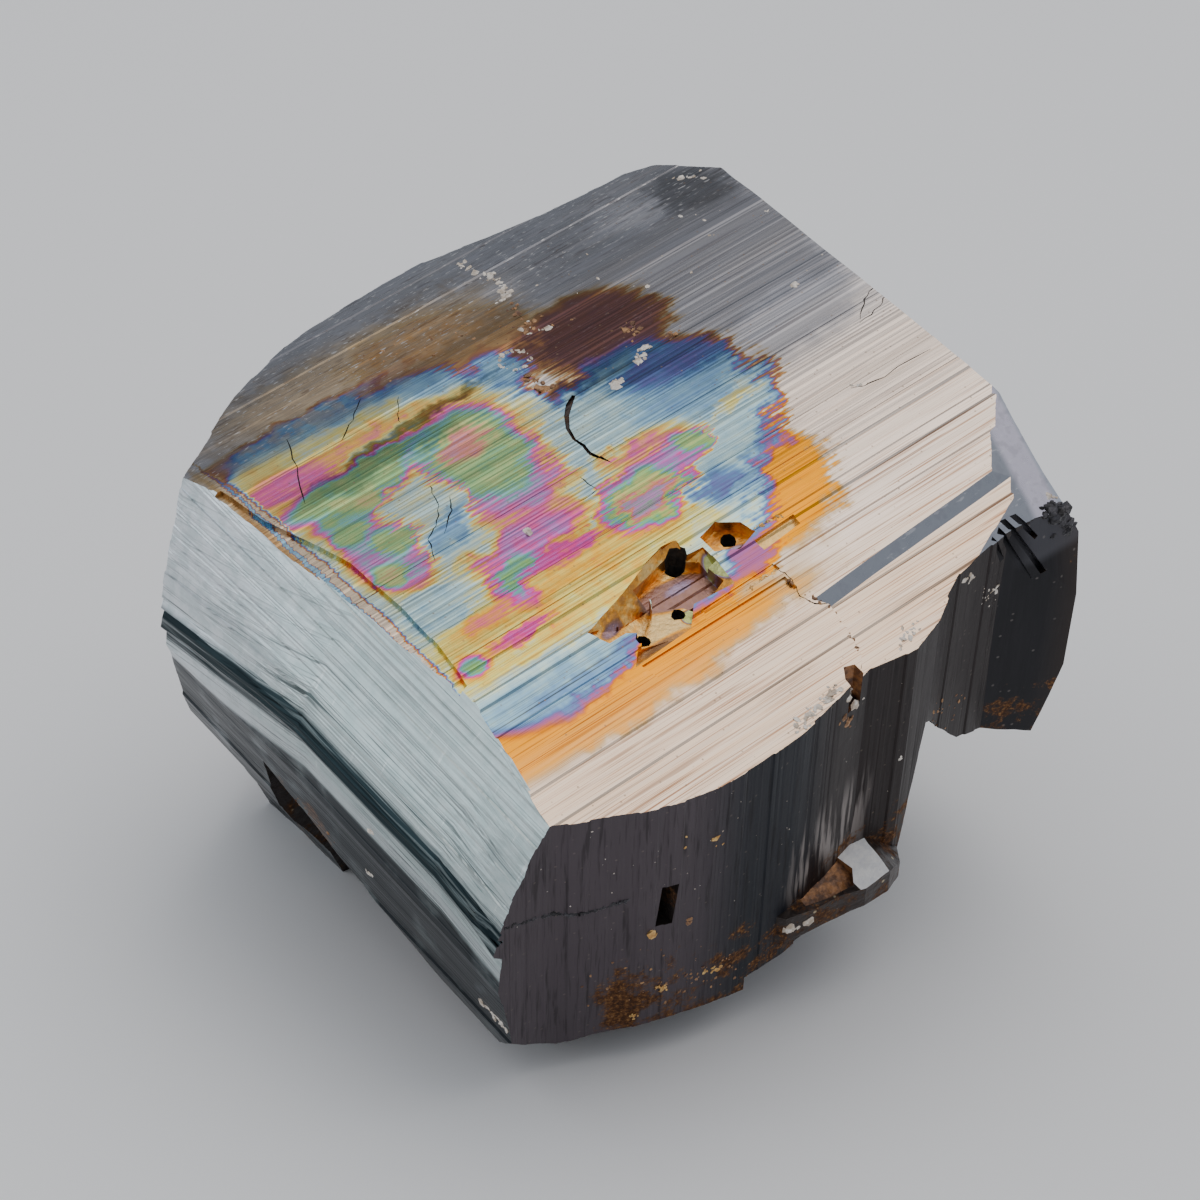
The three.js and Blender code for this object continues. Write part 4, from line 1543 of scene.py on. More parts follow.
    def build(self, effects: SharedEffects) -> bpy.types.Material:
        """Makes the material.

        Args:
            effects: The shared groups.

        Returns:
            The material.
        """
        graph = Coat("tarnished_top", effects)
        a, b, place = graph.a, graph.b, graph.place
        film, shade = self.fields(graph, effects)
        feeds = {"Saturation": 1.12, "Color": graph.ramp(film, FILM_COLOURS)}
        colour = graph.node("HueSaturation", feeds).outputs[0]
        dulled = graph.times(graph.spread(film, 0.36, 0.44), graph.spread(b, 12.5, 17))
        colour = graph.tint(colour, (0.40, 0.42, 0.41), dulled, 0.16)
        rim = graph.times(graph.window(film, 0.13, 0.255, 0.02), graph.spread(b, 13, 17))
        colour = graph.tint(colour, (0.24, 0.15, 0.13), rim, 0.7)
        # Painted light: the front of the face, before b 13.5, is made lighter
        bright = graph.spread(b, 13.5, 10)
        colour = graph.tint(colour, graph.shade(colour, (1.35, 1.3, 1.25), 1.0), bright, 0.35)
        # Painted light: thin-film patches in the front half are laid cream-white, as the lit part of the face
        painted_light_cream = graph.times(graph.spread(film, 0.13, 0.06), graph.spread(b, 19, 13))
        colour = graph.tint(colour, (0.94, 0.78, 0.65), painted_light_cream, 0.9)
        peach = graph.times(graph.spread(b, 5.2, 1.5), graph.stretched(place, (0.05, 2.6, 0.0), 1.0))
        colour = graph.tint(colour, (0.88, 0.56, 0.30), peach, 0.7)
        bronze = graph.times(graph.window(b, 29.5, 36.5, 1.5), graph.window(a, 1.0, 22.0, 2.0))
        mottle = graph.spread(graph.cloud(place, 0.9, 2.0, 0.65), 0.40, 0.60)
        colour = graph.tint(colour, (0.50, 0.37, 0.24), bronze, mottle, 0.55)
        # Painted shade: the colour turns bluer and darker where the shade islands lie
        colour = graph.shade(colour, (0.84, 0.90, 1.0), graph.spread(shade, 1.0, 0.5))
        colour = graph.shade(colour, graph.vector(shade, shade, shade), 1.0)
        shorter = graph.times(a, graph.spread(b, 28.0, 30.5, 0.35, 2.4))
        lines = graph.use(effects.striae, Across=b, Along=shorter, Density=1.7, Seed=3.0)
        strength = graph.plus(graph.spread(b, 6.0, 4.0, 0.5, 0.8), graph.spread(b, 30, 33, 0.0, 0.2))
        dark = graph.mix(graph.spread(b, 7.0, 4.0), (0.34, 0.30, 0.30), (0.42, 0.33, 0.27))
        colour = graph.shade(colour, dark, lines["Lines"], strength)
        close = graph.use(effects.striae, Across=b, Along=graph.times(a, 0.3), Density=3.0, Seed=5.0)
        front = graph.times(close["Lines"], graph.spread(b, 14.0, 5.0, 0.2, 0.95))
        colour = graph.shade(colour, (0.50, 0.33, 0.23), front)
        level = graph.scaled(lines["Tone"], 0.28, 0.79)
        colour = graph.shade(colour, graph.vector(level, level, level), 1.0)
        flecks = graph.spread(graph.stretched(place, (1.6, 6.0, 0.0), 2.0), 0.62, 0.7)
        flecks = graph.times(flecks, graph.spread(b, 28, 33, 0.04, 0.75))
        colour = graph.mix(flecks, colour, (0.66, 0.64, 0.62))
        grain = graph.use(effects.grain, Place=place, Scale=3.0)
        colour = graph.tint(colour, (0.22, 0.15, 0.1), grain["Specks"], 0.6)
        roughness = graph.scaled(lines["Tone"], 0.12, 0.22)
        return graph.close(self.shell, colour, roughness, lines["Height"])


@dataclass(frozen=True)
class SilverLeft:
    """The left face: silver with a blue-green cast above its low ridge, and painted shade darkening it below.
    """

    silver: Triple = (0.42, 0.50, 0.50)
    pale: Triple = (0.66, 0.70, 0.74)
    groove: Triple = (0.022, 0.035, 0.04)
    # The painted shade below the ridge
    below: Triple = (0.014, 0.021, 0.027)
    shell: Shell = Shell(bump=0.6, bump_depth=2.0e-5)

    def build(self, effects: SharedEffects) -> bpy.types.Material:
        """Makes the material.

        Args:
            effects: The shared groups.

        Returns:
            The material.
        """
        graph = Coat("silver_left", effects)
        b, c, place = graph.b, graph.c, graph.place
        sag = graph.plus(
            graph.node("MapRange", {"Value": b, "From Min": 17, "From Max": 31, "To Max": 3.9}).outputs[0],
            graph.node("MapRange", {"Value": b, "From Min": 5, "From Max": -6, "To Max": 2.0}).outputs[0])
        level = graph.plus(c, sag)
        lines = graph.use(effects.striae, Across=level, Along=graph.times(b, 0.45), Density=2.6, Seed=8.0)
        colour = graph.mix(graph.spread(b, 14, 30), self.silver, self.pale)
        colour = graph.tint(colour, (0.75, 0.80, 0.80), lines["Tone"], 0.4)
        blotch = graph.spread(graph.cloud(place, 0.9, 4.0, 0.65), 0.40, 0.62)
        colour = graph.tint(colour, (0.30, 0.40, 0.40), blotch, 0.34)
        scratch = graph.spread(graph.stretched(place, (0.0, 2.4, 0.5), 3.0), 0.64, 0.70)
        colour = graph.tint(colour, (0.80, 0.84, 0.84), scratch, 0.3)
        dark = graph.window(level, -7.8, -4.9, 0.25)
        dark = graph.times(dark, graph.spread(lines["Tone"], 0.85, 0.35, 0.5, 1.0))
        colour = graph.mix(dark, colour, self.groove)
        # Painted shade: below the ridge, where the face turns downward, it is laid nearly black
        shade = graph.spread(level, -9.4, -9.9)
        shade = graph.times(shade, graph.spread(graph.cloud(place, 0.35, 4.0), 0.72, 0.5, 0.72, 1.0))
        colour = graph.mix(shade, colour, self.below)
        # Painted highlight: a light line along the crest of the ridge
        crest_highlight = graph.window(level, -9.5, -8.6, 0.2)
        colour = graph.tint(colour, (0.62, 0.66, 0.68), crest_highlight, 0.45)
        rust = graph.times(graph.window(b, 15, 22, 2.5), graph.window(level, -17.5, -13.5, 1.0))
        rust = graph.plus(graph.times(rust, 0.55), graph.spread(level, -16, -21, 0.0, 0.4))
        colour = graph.use(effects.rust, Base=colour, Place=place, Amount=rust)["Color"]
        deep = graph.times(lines["Lines"], graph.spread(level, -1.0, -4.5, 0.45, 0.95))
        colour = graph.shade(colour, (0.14, 0.16, 0.16), deep)
        roughness = graph.scaled(lines["Tone"], 0.14, 0.28)
        return graph.close(self.shell, colour, roughness, lines["Height"])


@dataclass(frozen=True)
class PaintedShadeFront:
    """The front face, laid dark as painted shade: purple-grey, blue-black at its middle and brown with rust
    lower down.
    """

    purple: Triple = (0.082, 0.066, 0.075)
    blue: Triple = (0.009, 0.012, 0.018)
    brown: Triple = (0.018, 0.012, 0.011)
    shell: Shell = Shell(metallic=0.2, bump=0.7, bump_depth=2.2e-5, specular=0.12)

    def build(self, effects: SharedEffects) -> bpy.types.Material:
        """Makes the material.

        Args:
            effects: The shared groups.

        Returns:
            The material.
        """
        graph = Coat("painted_shade_front", effects)
        a, c, place = graph.a, graph.c, graph.place
        # Painted shade: the whole face is laid near black, in purple-grey, blue-black and brown
        colour = graph.mix(graph.spread(a, 6.5, 11.5), self.purple, self.blue)
        colour = graph.mix(graph.spread(a, 14, 18), colour, self.brown)
        lines = graph.use(effects.striae, Across=a, Along=c, Density=1.3, Seed=15.0)
        colour = graph.tint(colour, (0.06, 0.053, 0.056), lines["Tone"], 0.25)
        colour = graph.shade(colour, (0.3, 0.28, 0.28), lines["Lines"], 0.6)
        pale = graph.times(graph.window(a, 14.4, 20.5, 1.0), graph.window(c, -16.2, -10.5, 2.0))
        pale = graph.times(pale, graph.spread(graph.stretched(place, (2.2, 0.0, 0.16), 3.0), 0.46, 0.6))
        colour = graph.tint(colour, (0.34, 0.30, 0.28), pale, 0.75)
        low = graph.spread(c, -9.5, -18.5)
        low = graph.times(low, graph.window(a, 2.5, 30.0, 3.0))
        spots = graph.times(graph.window(a, 2.5, 4.6, 1.0), graph.spread(c, -12, -15.5))
        amount = graph.plus(graph.times(low, 0.55), graph.times(spots, 0.5))
        rusty = graph.use(effects.rust, Base=colour, Place=place, Amount=amount)
        grain = graph.use(effects.grain, Place=place, Scale=2.4)
        colour = graph.tint(rusty["Color"], (0.34, 0.28, 0.22), grain["Specks"], 0.2)
        roughness = graph.plus(graph.scaled(lines["Tone"], 0.12, 0.36), graph.times(rusty["Mask"], 0.3))
        height = graph.plus(lines["Height"], graph.times(grain["Height"], 0.5))
        return graph.close(self.shell, colour, roughness, height)


@dataclass(frozen=True)
class GreyFace:
    """The right and back faces: striated steel grey with a little rust."""

    name: str
    across: str
    along: str
    grey: Triple = (0.26, 0.27, 0.30)
    light: Triple = (0.52, 0.52, 0.54)
    rust: float = 0.16
    shell: Shell = Shell(bump=0.6, bump_depth=2.2e-5)

    def build(self, effects: SharedEffects) -> bpy.types.Material:
        """Makes the material.

        Args:
            effects: The shared groups.

        Returns:
            The material.
        """
        graph = Coat(self.name, effects)
        where = graph.where
        across, along = where[self.across], where[self.along]
        lines = graph.use(effects.striae, Across=across, Along=along, Density=1.4, Seed=23.0)
        patches = graph.spread(graph.cloud(where["Place"], 0.12, 3.0), 0.4, 0.62)
        colour = graph.mix(patches, self.grey, self.light)
        colour = graph.tint(colour, (0.62, 0.62, 0.62), lines["Tone"], 0.35)
        colour = graph.shade(colour, (0.25, 0.24, 0.24), lines["Lines"], 0.65)
        low = graph.spread(where["c"], -4, -20, self.rust, self.rust + 0.4)
        rusty = graph.use(effects.rust, Base=colour, Place=where["Place"], Amount=low)
        roughness = graph.plus(graph.scaled(lines["Tone"], 0.14, 0.3), graph.times(rusty["Mask"], 0.3))
        return graph.close(self.shell, rusty["Color"], roughness, lines["Height"])


@dataclass(frozen=True)
class PaintedShadeSmall:
    """The smaller crystal: smooth, laid nearly black as painted shade, brown towards its right side and its
    foot.
    """

    black: Triple = (0.010, 0.010, 0.013)
    brown: Triple = (0.036, 0.024, 0.019)
    shell: Shell = Shell(metallic=0.2, bump=0.6, bump_depth=2.5e-5, specular=0.12)

    def build(self, effects: SharedEffects) -> bpy.types.Material:
        """Makes the material.

        Args:
            effects: The shared groups.

        Returns:
            The material.
        """
        graph = Coat("painted_shade_small", effects)
        a, c, place = graph.a, graph.c, graph.place
        lines = graph.use(effects.striae, Across=a, Along=c, Density=0.9, Seed=31.0)
        brown = graph.math("MAXIMUM", graph.spread(a, 34.5, 37.5), graph.spread(a, 29.0, 26.5, 0.0, 0.6))
        # Painted shade: the base colours are near black and dark brown
        colour = graph.mix(brown, self.black, self.brown)
        colour = graph.tint(colour, (0.09, 0.085, 0.09), lines["Tone"], 0.08)
        foot = graph.plus(graph.spread(c, -12.5, -16.5, 0.0, 0.6), graph.times(brown, 0.25))
        rusty = graph.use(effects.rust, Base=colour, Place=place, Amount=foot)
        roughness = graph.plus(graph.scaled(lines["Tone"], 0.12, 0.3), graph.times(rusty["Mask"], 0.3))
        pink = graph.times(graph.window(a, 28.2, 31.2, 0.6), graph.spread(lines["Tone"], 0.35, 0.8))
        colour = graph.tint(rusty["Color"], (0.13, 0.095, 0.095), pink, 0.25)
        shoulder = graph.times(graph.spread(a, 32.2, 34.0), graph.spread(c, -4.2, -3.4))
        colour = graph.tint(colour, (0.13, 0.13, 0.15), shoulder, 0.4)
        grain = graph.use(effects.grain, Place=place, Scale=2.0)
        colour = graph.tint(colour, (0.3, 0.27, 0.25), grain["Specks"], 0.3)
        return graph.close(self.shell, colour, roughness, lines["Height"])


@dataclass(frozen=True)
class GoldPit:
    """The pits and their walls: golden orange, with brown, violet and yellow-green facets."""

    patches: tuple[Film, ...] = (
        # From 0, pale gold, through orange and brown-violet to 1, yellow-green
        Film((12.6, 6.1), (1.9, 1.0), 0.08, 0.4, 0),
        Film((14.6, 7.6), (2.4, 1.1), 0.62, 0.3, -6),
        Film((15.0, 7.9), (0.9, 0.35), 0.74, 0.8),
        Film((9.9, 7.3), (0.9, 0.35), 0.68, 0.6, 20),
        Film((17.2, 7.1), (0.5, 1.2), 0.97, 0.4, 12),
        Film((14.1, 5.8), (0.6, 0.5), 0.95, 0.4, 0),
        Film((18.6, 7.7), (0.9, 0.4), 0.76, 0.7),
        Film((11.6, 5.2), (1.8, 0.3), 0.5, 0.9),
        Film((21, 7), (1.5, 0.4), 0.12, 0.6),
    )
    shell: Shell = Shell(bump=0.8, bump_depth=6e-5)

    def build(self, effects: SharedEffects) -> bpy.types.Material:
        """Makes the material.

        Args:
            effects: The shared groups.

        Returns:
            The material.
        """
        graph = Coat("gold_pit", effects)
        place = graph.place
        base = graph.spread(graph.cloud(place, 1.2, 3.0, 0.6), 0.35, 0.65, 0.12, 0.42)
        kind = lay(graph, effects, self.patches, base, place)
        kind = graph.scaled(graph.cloud(place, 5.0, 3.0, 0.7), 0.16, graph.math("SUBTRACT", kind, 0.08))
        colour = graph.ramp(kind, (
            (0.0, (0.86, 0.66, 0.34)), (0.16, (0.86, 0.52, 0.16)), (0.34, (0.80, 0.34, 0.05)),
            (0.5, (0.36, 0.19, 0.09)), (0.66, (0.30, 0.17, 0.16)), (0.78, (0.38, 0.30, 0.44)),
            (0.9, (0.50, 0.52, 0.16)), (1.0, (0.66, 0.68, 0.28)),
        ))
        grain = graph.use(effects.grain, Place=place, Scale=3.5)
        roughness = graph.scaled(grain["Height"], 0.3, 0.25)
        return graph.close(self.shell, colour, roughness, grain["Height"])


@dataclass(frozen=True)
class BrokenRust:
    """The broken underside: dark brown with rust, where fresh chips glint."""

    dark: Triple = (0.045, 0.035, 0.032)
    amount: float = 0.5
    shell: Shell = Shell(metallic=0.7, bump=0.9, bump_depth=1.2e-4)

    def build(self, effects: SharedEffects) -> bpy.types.Material:
        """Makes the material.

        Args:
            effects: The shared groups.

        Returns:
            The material.
        """
        graph = Coat("broken_rust", effects)
        place = graph.place
        rusty = graph.use(effects.rust, Base=self.dark, Place=place, Amount=self.amount)
        grain = graph.use(effects.grain, Place=place, Scale=1.6)
        colour = graph.tint(rusty["Color"], (0.62, 0.52, 0.34), grain["Specks"], 0.8)
        roughness = graph.scaled(rusty["Mask"], 0.35, 0.4)
        return graph.close(self.shell, colour, roughness, grain["Height"])


@dataclass(frozen=True)
class PaintedShadeHole:
    """The deep holes and the fine cracks, laid near black as painted shade."""

    shell: Shell = Shell(metallic=0.0, bump=0.5, bump_depth=4e-5)

    def build(self, effects: SharedEffects) -> bpy.types.Material:
        """Makes the material.

        Args:
            effects: The shared groups.

        Returns:
            The material.
        """
        graph = Coat("painted_shade_hole", effects)
        place = graph.place
        dark = ((0.35, (0.006, 0.005, 0.004)), (0.7, (0.04, 0.03, 0.02)))
        colour = graph.ramp(graph.cloud(place, 3.0, 3.0), dark)
        height = graph.cloud(place, 6.0, 2.0)
        return graph.close(self.shell, colour, graph.spread(height, 0.3, 0.7, 0.5, 0.8), height)


@dataclass(frozen=True)
class PaleBevel:
    """The smooth bevels at the right end of the top face: lavender, and blue-grey along the front."""

    lavender: Triple = (0.62, 0.59, 0.68)
    grey: Triple = (0.30, 0.32, 0.36)
    shell: Shell = Shell(bump=0.3, bump_depth=1.5e-5)

    def build(self, effects: SharedEffects) -> bpy.types.Material:
        """Makes the material.

        Args:
            effects: The shared groups.

        Returns:
            The material.
        """
        graph = Coat("pale_bevel", effects)
        a, b, place = graph.a, graph.b, graph.place
        edge = graph.math("SUBTRACT", a, graph.times(b, 0.2))
        colour = graph.mix(graph.spread(edge, 33.6, 34.2), self.grey, self.lavender)
        colour = graph.mix(graph.spread(edge, 35.5, 35.9), colour, (0.44, 0.47, 0.53))
        scratch = graph.spread(graph.stretched(place, (1.2, 4.0, 1.0), 3.0), 0.62, 0.68)
        colour = graph.tint(colour, (0.72, 0.72, 0.76), scratch, 0.35)
        cloud = graph.cloud(place, 1.4, 4.0)
        colour = graph.mix(graph.spread(cloud, 0.5, 0.68, 0.0, 0.3), colour, (0.2, 0.2, 0.24))
        return graph.close(self.shell, colour, graph.spread(cloud, 0.3, 0.7, 0.26, 0.4), cloud)


@dataclass(frozen=True)
class Crumb:
    """Loose crumbs, crusts and bright flakes: one colour that varies from crumb to crumb, with grain."""

    name: str
    light: Triple
    dark: Triple
    metallic: float = 0.3

    def build(self, effects: SharedEffects) -> bpy.types.Material:
        """Makes the material.

        Args:
            effects: The shared groups.

        Returns:
            The material.
        """
        graph = Coat(self.name, effects)
        place = graph.place
        patches = graph.spread(graph.cloud(place, 1.7, 4.0, 0.65), 0.36, 0.64)
        grain = graph.use(effects.grain, Place=place, Scale=6.0)
        colour = graph.mix(patches, self.light, self.dark)
        roughness = graph.spread(grain["Height"], 0.3, 0.7, 0.3, 0.6)
        return graph.close(Shell(self.metallic, 0.7, 5e-5), colour, roughness, grain["Height"])


class Kind(Enum):
    """The kinds of crumb. The value is the material slot."""

    PALE = 0
    GOLD = 1
    RUST = 2
    DARK = 3


@dataclass(frozen=True)
class Cluster:
    """Crumbs strewn along a line. The line is (a, b) on top, (a, c) in front and (b, c) at the left."""

    line: Line
    count: int
    size: float = 0.3
    spread: float = 0.25
    kind: Kind = Kind.PALE
    flat: float = 0.5


@dataclass(frozen=True)
class Crumbs:
    """Every crumb, crust and flake on the crystal, as one piece of small angular lumps."""

    strewn: tuple[tuple[Surface, tuple[Cluster, ...]], ...] = (
        (Surface.TOP, (
            # Crusts up the break in the back of the top face, and across its middle
            Cluster(((22.6, 37.2), (22.9, 34.4), (22.6, 32.8), (21.9, 31.5)), 46, 0.24, 0.22),
            Cluster(((21.4, 31.4), (22.4, 31.6)), 10, 0.26, 0.12),
            Cluster(((21.6, 30.6), (21.0, 28.8), (20.6, 27.4)), 20, 0.22, 0.2, Kind.RUST),
            Cluster(((21.0, 29.0), (20.6, 27.6), (21.6, 27.4)), 10, 0.24, 0.15),
            Cluster(((18.3, 25.0), (18.1, 23.6), (19.4, 23.0)), 16, 0.24, 0.2, Kind.RUST),
            Cluster(((24.4, 24.6), (25.4, 24.1), (24.6, 23.4)), 14, 0.24, 0.25, Kind.RUST),
            Cluster(((24.0, 21.6), (23.7, 21.9), (24.6, 22.3)), 14, 0.26, 0.2),
            Cluster(((21.2, 21.2), (22.0, 21.1)), 10, 0.3, 0.15),
            Cluster(((26.3, 22.1), (27.0, 22.3)), 7, 0.24, 0.15, Kind.RUST),
            Cluster(((34.0, 20.9), (34.5, 20.8)), 6, 0.24, 0.12),
            Cluster(
                ((17.6, 26.6), (18.2, 27.3), (19.1, 27.1), (19.5, 26.3), (18.9, 25.6), (17.9, 25.8),
                 (17.6, 26.6)),
                40, 0.16, 0.06),
            Cluster(((36.6, 33.6), (37.6, 32.6)), 10, 0.26, 0.3),
            Cluster(((14, 32), (21, 29)), 40, 0.12, 1.5, Kind.RUST),
            Cluster(((26, 32), (36, 24)), 26, 0.12, 3.5),
            # The white speck, the crumbs round the pit and along the step
            Cluster(((10.7, 15.2), (10.8, 15.5)), 5, 0.26, 0.06),
            Cluster(
                ((19.5, 4.4), (19.6, 3.2), (20.4, 2.0), (20.2, 0.4), (20.0, -1.0)), 26, 0.14, 0.1, Kind.RUST),
            Cluster(((17.5, 5.1), (19.3, 5.3)), 12, 0.16, 0.1, Kind.GOLD),
            Cluster(((20.0, 7.9), (22.0, 7.6)), 12, 0.16, 0.12, Kind.GOLD),
            Cluster(((31.0, 12.6), (31.6, 12.0)), 6, 0.18, 0.12),
            # The crumbly white strip along the front edge, and the broken notch
            Cluster(((14.2, -2.5), (16.0, -2.2), (17.6, -1.9)), 52, 0.22, 0.22, Kind.PALE, 0.35),
            Cluster(((21.8, -1.6), (24.2, -1.2)), 20, 0.18, 0.2, Kind.PALE, 0.35),
        )),
        (Surface.FRONT, (
            Cluster(((18.2, -1.4), (18.9, -2.6), (19.3, -3.2)), 22, 0.3, 0.22),
            Cluster(((17.8, -3.0), (18.4, -4.2)), 16, 0.26, 0.2, Kind.RUST),
            Cluster(((28.4, -1.4), (29.2, -2.2)), 8, 0.24, 0.15),
            Cluster(((31.0, -4.6), (31.8, -5.4)), 7, 0.18, 0.2),
            Cluster(((30.2, -3.4), (31.2, -6.2)), 12, 0.12, 0.35),
            Cluster(((26.5, -11), (30, -14.5)), 24, 0.14, 0.8, Kind.RUST),
        )),
        (Surface.TOP, (
            Cluster(((35.4, 1.2), (36.0, 0.9)), 7, 0.24, 0.12),
            # Dark broken lumps at the upper right of the small crystal
            Cluster(((34.6, 0.5), (36.2, 0.2), (36.6, -0.4)), 46, 0.42, 0.22, Kind.DARK, 0.7),
        )),
        (Surface.FRONT, (
            Cluster(((35.2, -1.2), (36.2, -3.0)), 34, 0.4, 0.3, Kind.DARK, 0.5),
            # Chips and flakes on the front face, and the rust along its crack
            Cluster(((5.2, -11.4), (5.4, -11.9)), 6, 0.32, 0.12, Kind.GOLD),
            Cluster(((7.3, -11.6), (7.6, -12.1)), 5, 0.3, 0.12, Kind.RUST),
            Cluster(((8.5, -5.0), (8.5, -5.1)), 2, 0.24, 0.05, Kind.GOLD),
            Cluster(((7.0, -3.6), (9.0, -6.5)), 4, 0.16, 0.5, Kind.GOLD),
            Cluster(((22.4, -10.0), (22.6, -10.4)), 4, 0.26, 0.1),
            Cluster(((5.6, -17.0), (6.6, -17.2)), 8, 0.24, 0.16, Kind.GOLD, 0.35),
            Cluster(((8.4, -17.4), (9.4, -17.6)), 9, 0.24, 0.14, Kind.GOLD, 0.35),
            Cluster(((4.2, -18.8), (4.6, -19.2)), 6, 0.22, 0.14, Kind.GOLD, 0.35),
            Cluster(((3.5, -14.5), (11, -19.5)), 60, 0.13, 1.4, Kind.RUST),
            Cluster(
                ((-3, -6), (-1, -7.2), (1, -8.1), (2.4, -8.3), (4, -7.9)), 150, 0.15, 0.07, Kind.DARK, 0.5),
            Cluster(((0, -2), (22, -14)), 44, 0.06, 4.0),
            Cluster(((14.0, -17.4), (15.0, -17.8)), 12, 0.3, 0.25),
        )),
        (Surface.LEFT, (
            # Chips low on the left face
            Cluster(((11.0, -9.2), (11.5, -9.5)), 5, 0.2, 0.1),
            Cluster(((11.8, -14.2), (12.2, -14.5)), 6, 0.22, 0.12),
            Cluster(((0.2, -16.2), (2.2, -15.8)), 24, 0.26, 0.3),
            Cluster(((16, -15.5), (21, -15.5)), 22, 0.16, 0.7, Kind.RUST),
        )),
    )

    # Where the search for the surface starts, how far it goes, and the steepest place that holds a crumb
    clear: float = 9.0
    search: float = 15.0
    steepest: float = 0.5
    # The spread across the second axis as a share of the first, and how far a crumb tips over, in radians
    narrow: float = 0.7
    tip: float = 0.4
    # How deep a crumb sits, and how far its corners are pulled in or out, as shares of its size
    sink: float = 0.35
    ragged: float = 0.6

    def spot(self, ground: BVHTree, face: Surface, x: float, y: float) -> tuple[Vector | None, Vector]:
        """Finds a place on a face of the crystal.

        Args:
            ground: The crystal.
            face: Which face.
            x: The first number of the place on it.
            y: The second.

        Returns:
            The place in crystal axes, or None off the face, and the outward direction.
        """
        starts = {
            Surface.TOP: (Vector((x, y, self.clear)), Vector((0, 0, 1))),
            Surface.FRONT: (Vector((x, -self.clear, y)), Vector((0, -1, 0))),
            Surface.LEFT: (Vector((-self.clear, x, y)), Vector((-1, 0, 0))),
        }
        start, outward = starts[face]
        place, normal, _, _ = ground.ray_cast(start, -outward, self.search)
        if place is None or normal.dot(outward) < self.steepest:
            return None, outward
        return place, outward

    def build(
        self, ground: BVHTree, stance: Stance, materials: Sequence[bpy.types.Material],
    ) -> bpy.types.Object:
        """Makes the crumbs.

        Args:
            ground: The crystal that they lie on.
            stance: How the crystal stands.
            materials: The pale, golden, rusty and dark crumbs.

        Returns:
            The piece, in metres in the shared frame.
        """
        rng = np.random.default_rng(7)
        work = bmesh.new()
        for face, cluster in ((face, cluster) for face, clusters in self.strewn for cluster in clusters):
            line = np.array(cluster.line, float)
            for _ in range(cluster.count):
                stop = rng.random() * (len(line) - 1)
                x, y = (float(np.interp(stop, range(len(line)), line[:, k])) for k in (0, 1))
                x += rng.normal() * cluster.spread
                y += rng.normal() * cluster.spread * self.narrow
                size = cluster.size * (0.5 + rng.random() ** 2)
                place, outward = self.spot(ground, face, x, y)
                if place is None:
                    continue
                turn = outward.to_track_quat("Z", "Y").to_matrix().to_4x4()
                turn = turn @ Matrix.Rotation(rng.random() * math.tau, 4, "Z")
                turn = turn @ Matrix.Rotation(rng.normal() * self.tip, 4, "X")
                shape = Matrix.Diagonal((size, size * (0.5 + 0.5 * rng.random()), size * cluster.flat, 1))
                place = place - outward * size * cluster.flat * self.sink
                made = bmesh.ops.create_icosphere(
                    work, subdivisions=1, radius=1.0, matrix=Matrix.Translation(place) @ turn @ shape)
                corners = made["verts"]
                for corner in corners:
                    corner.co += (corner.co - place) * (rng.random() - 0.6) * self.ragged
                for side in {side for corner in corners for side in corner.link_faces}:
                    side.material_index = cluster.kind.value
        mesh = bpy.data.meshes.new("crumbs")
        work.to_mesh(mesh)
        work.free()
        mesh.transform(stance.matrix() @ Matrix.Scale(MM, 4))
        for material in materials:
            mesh.materials.append(material)
        return hand_over("crumbs", mesh)


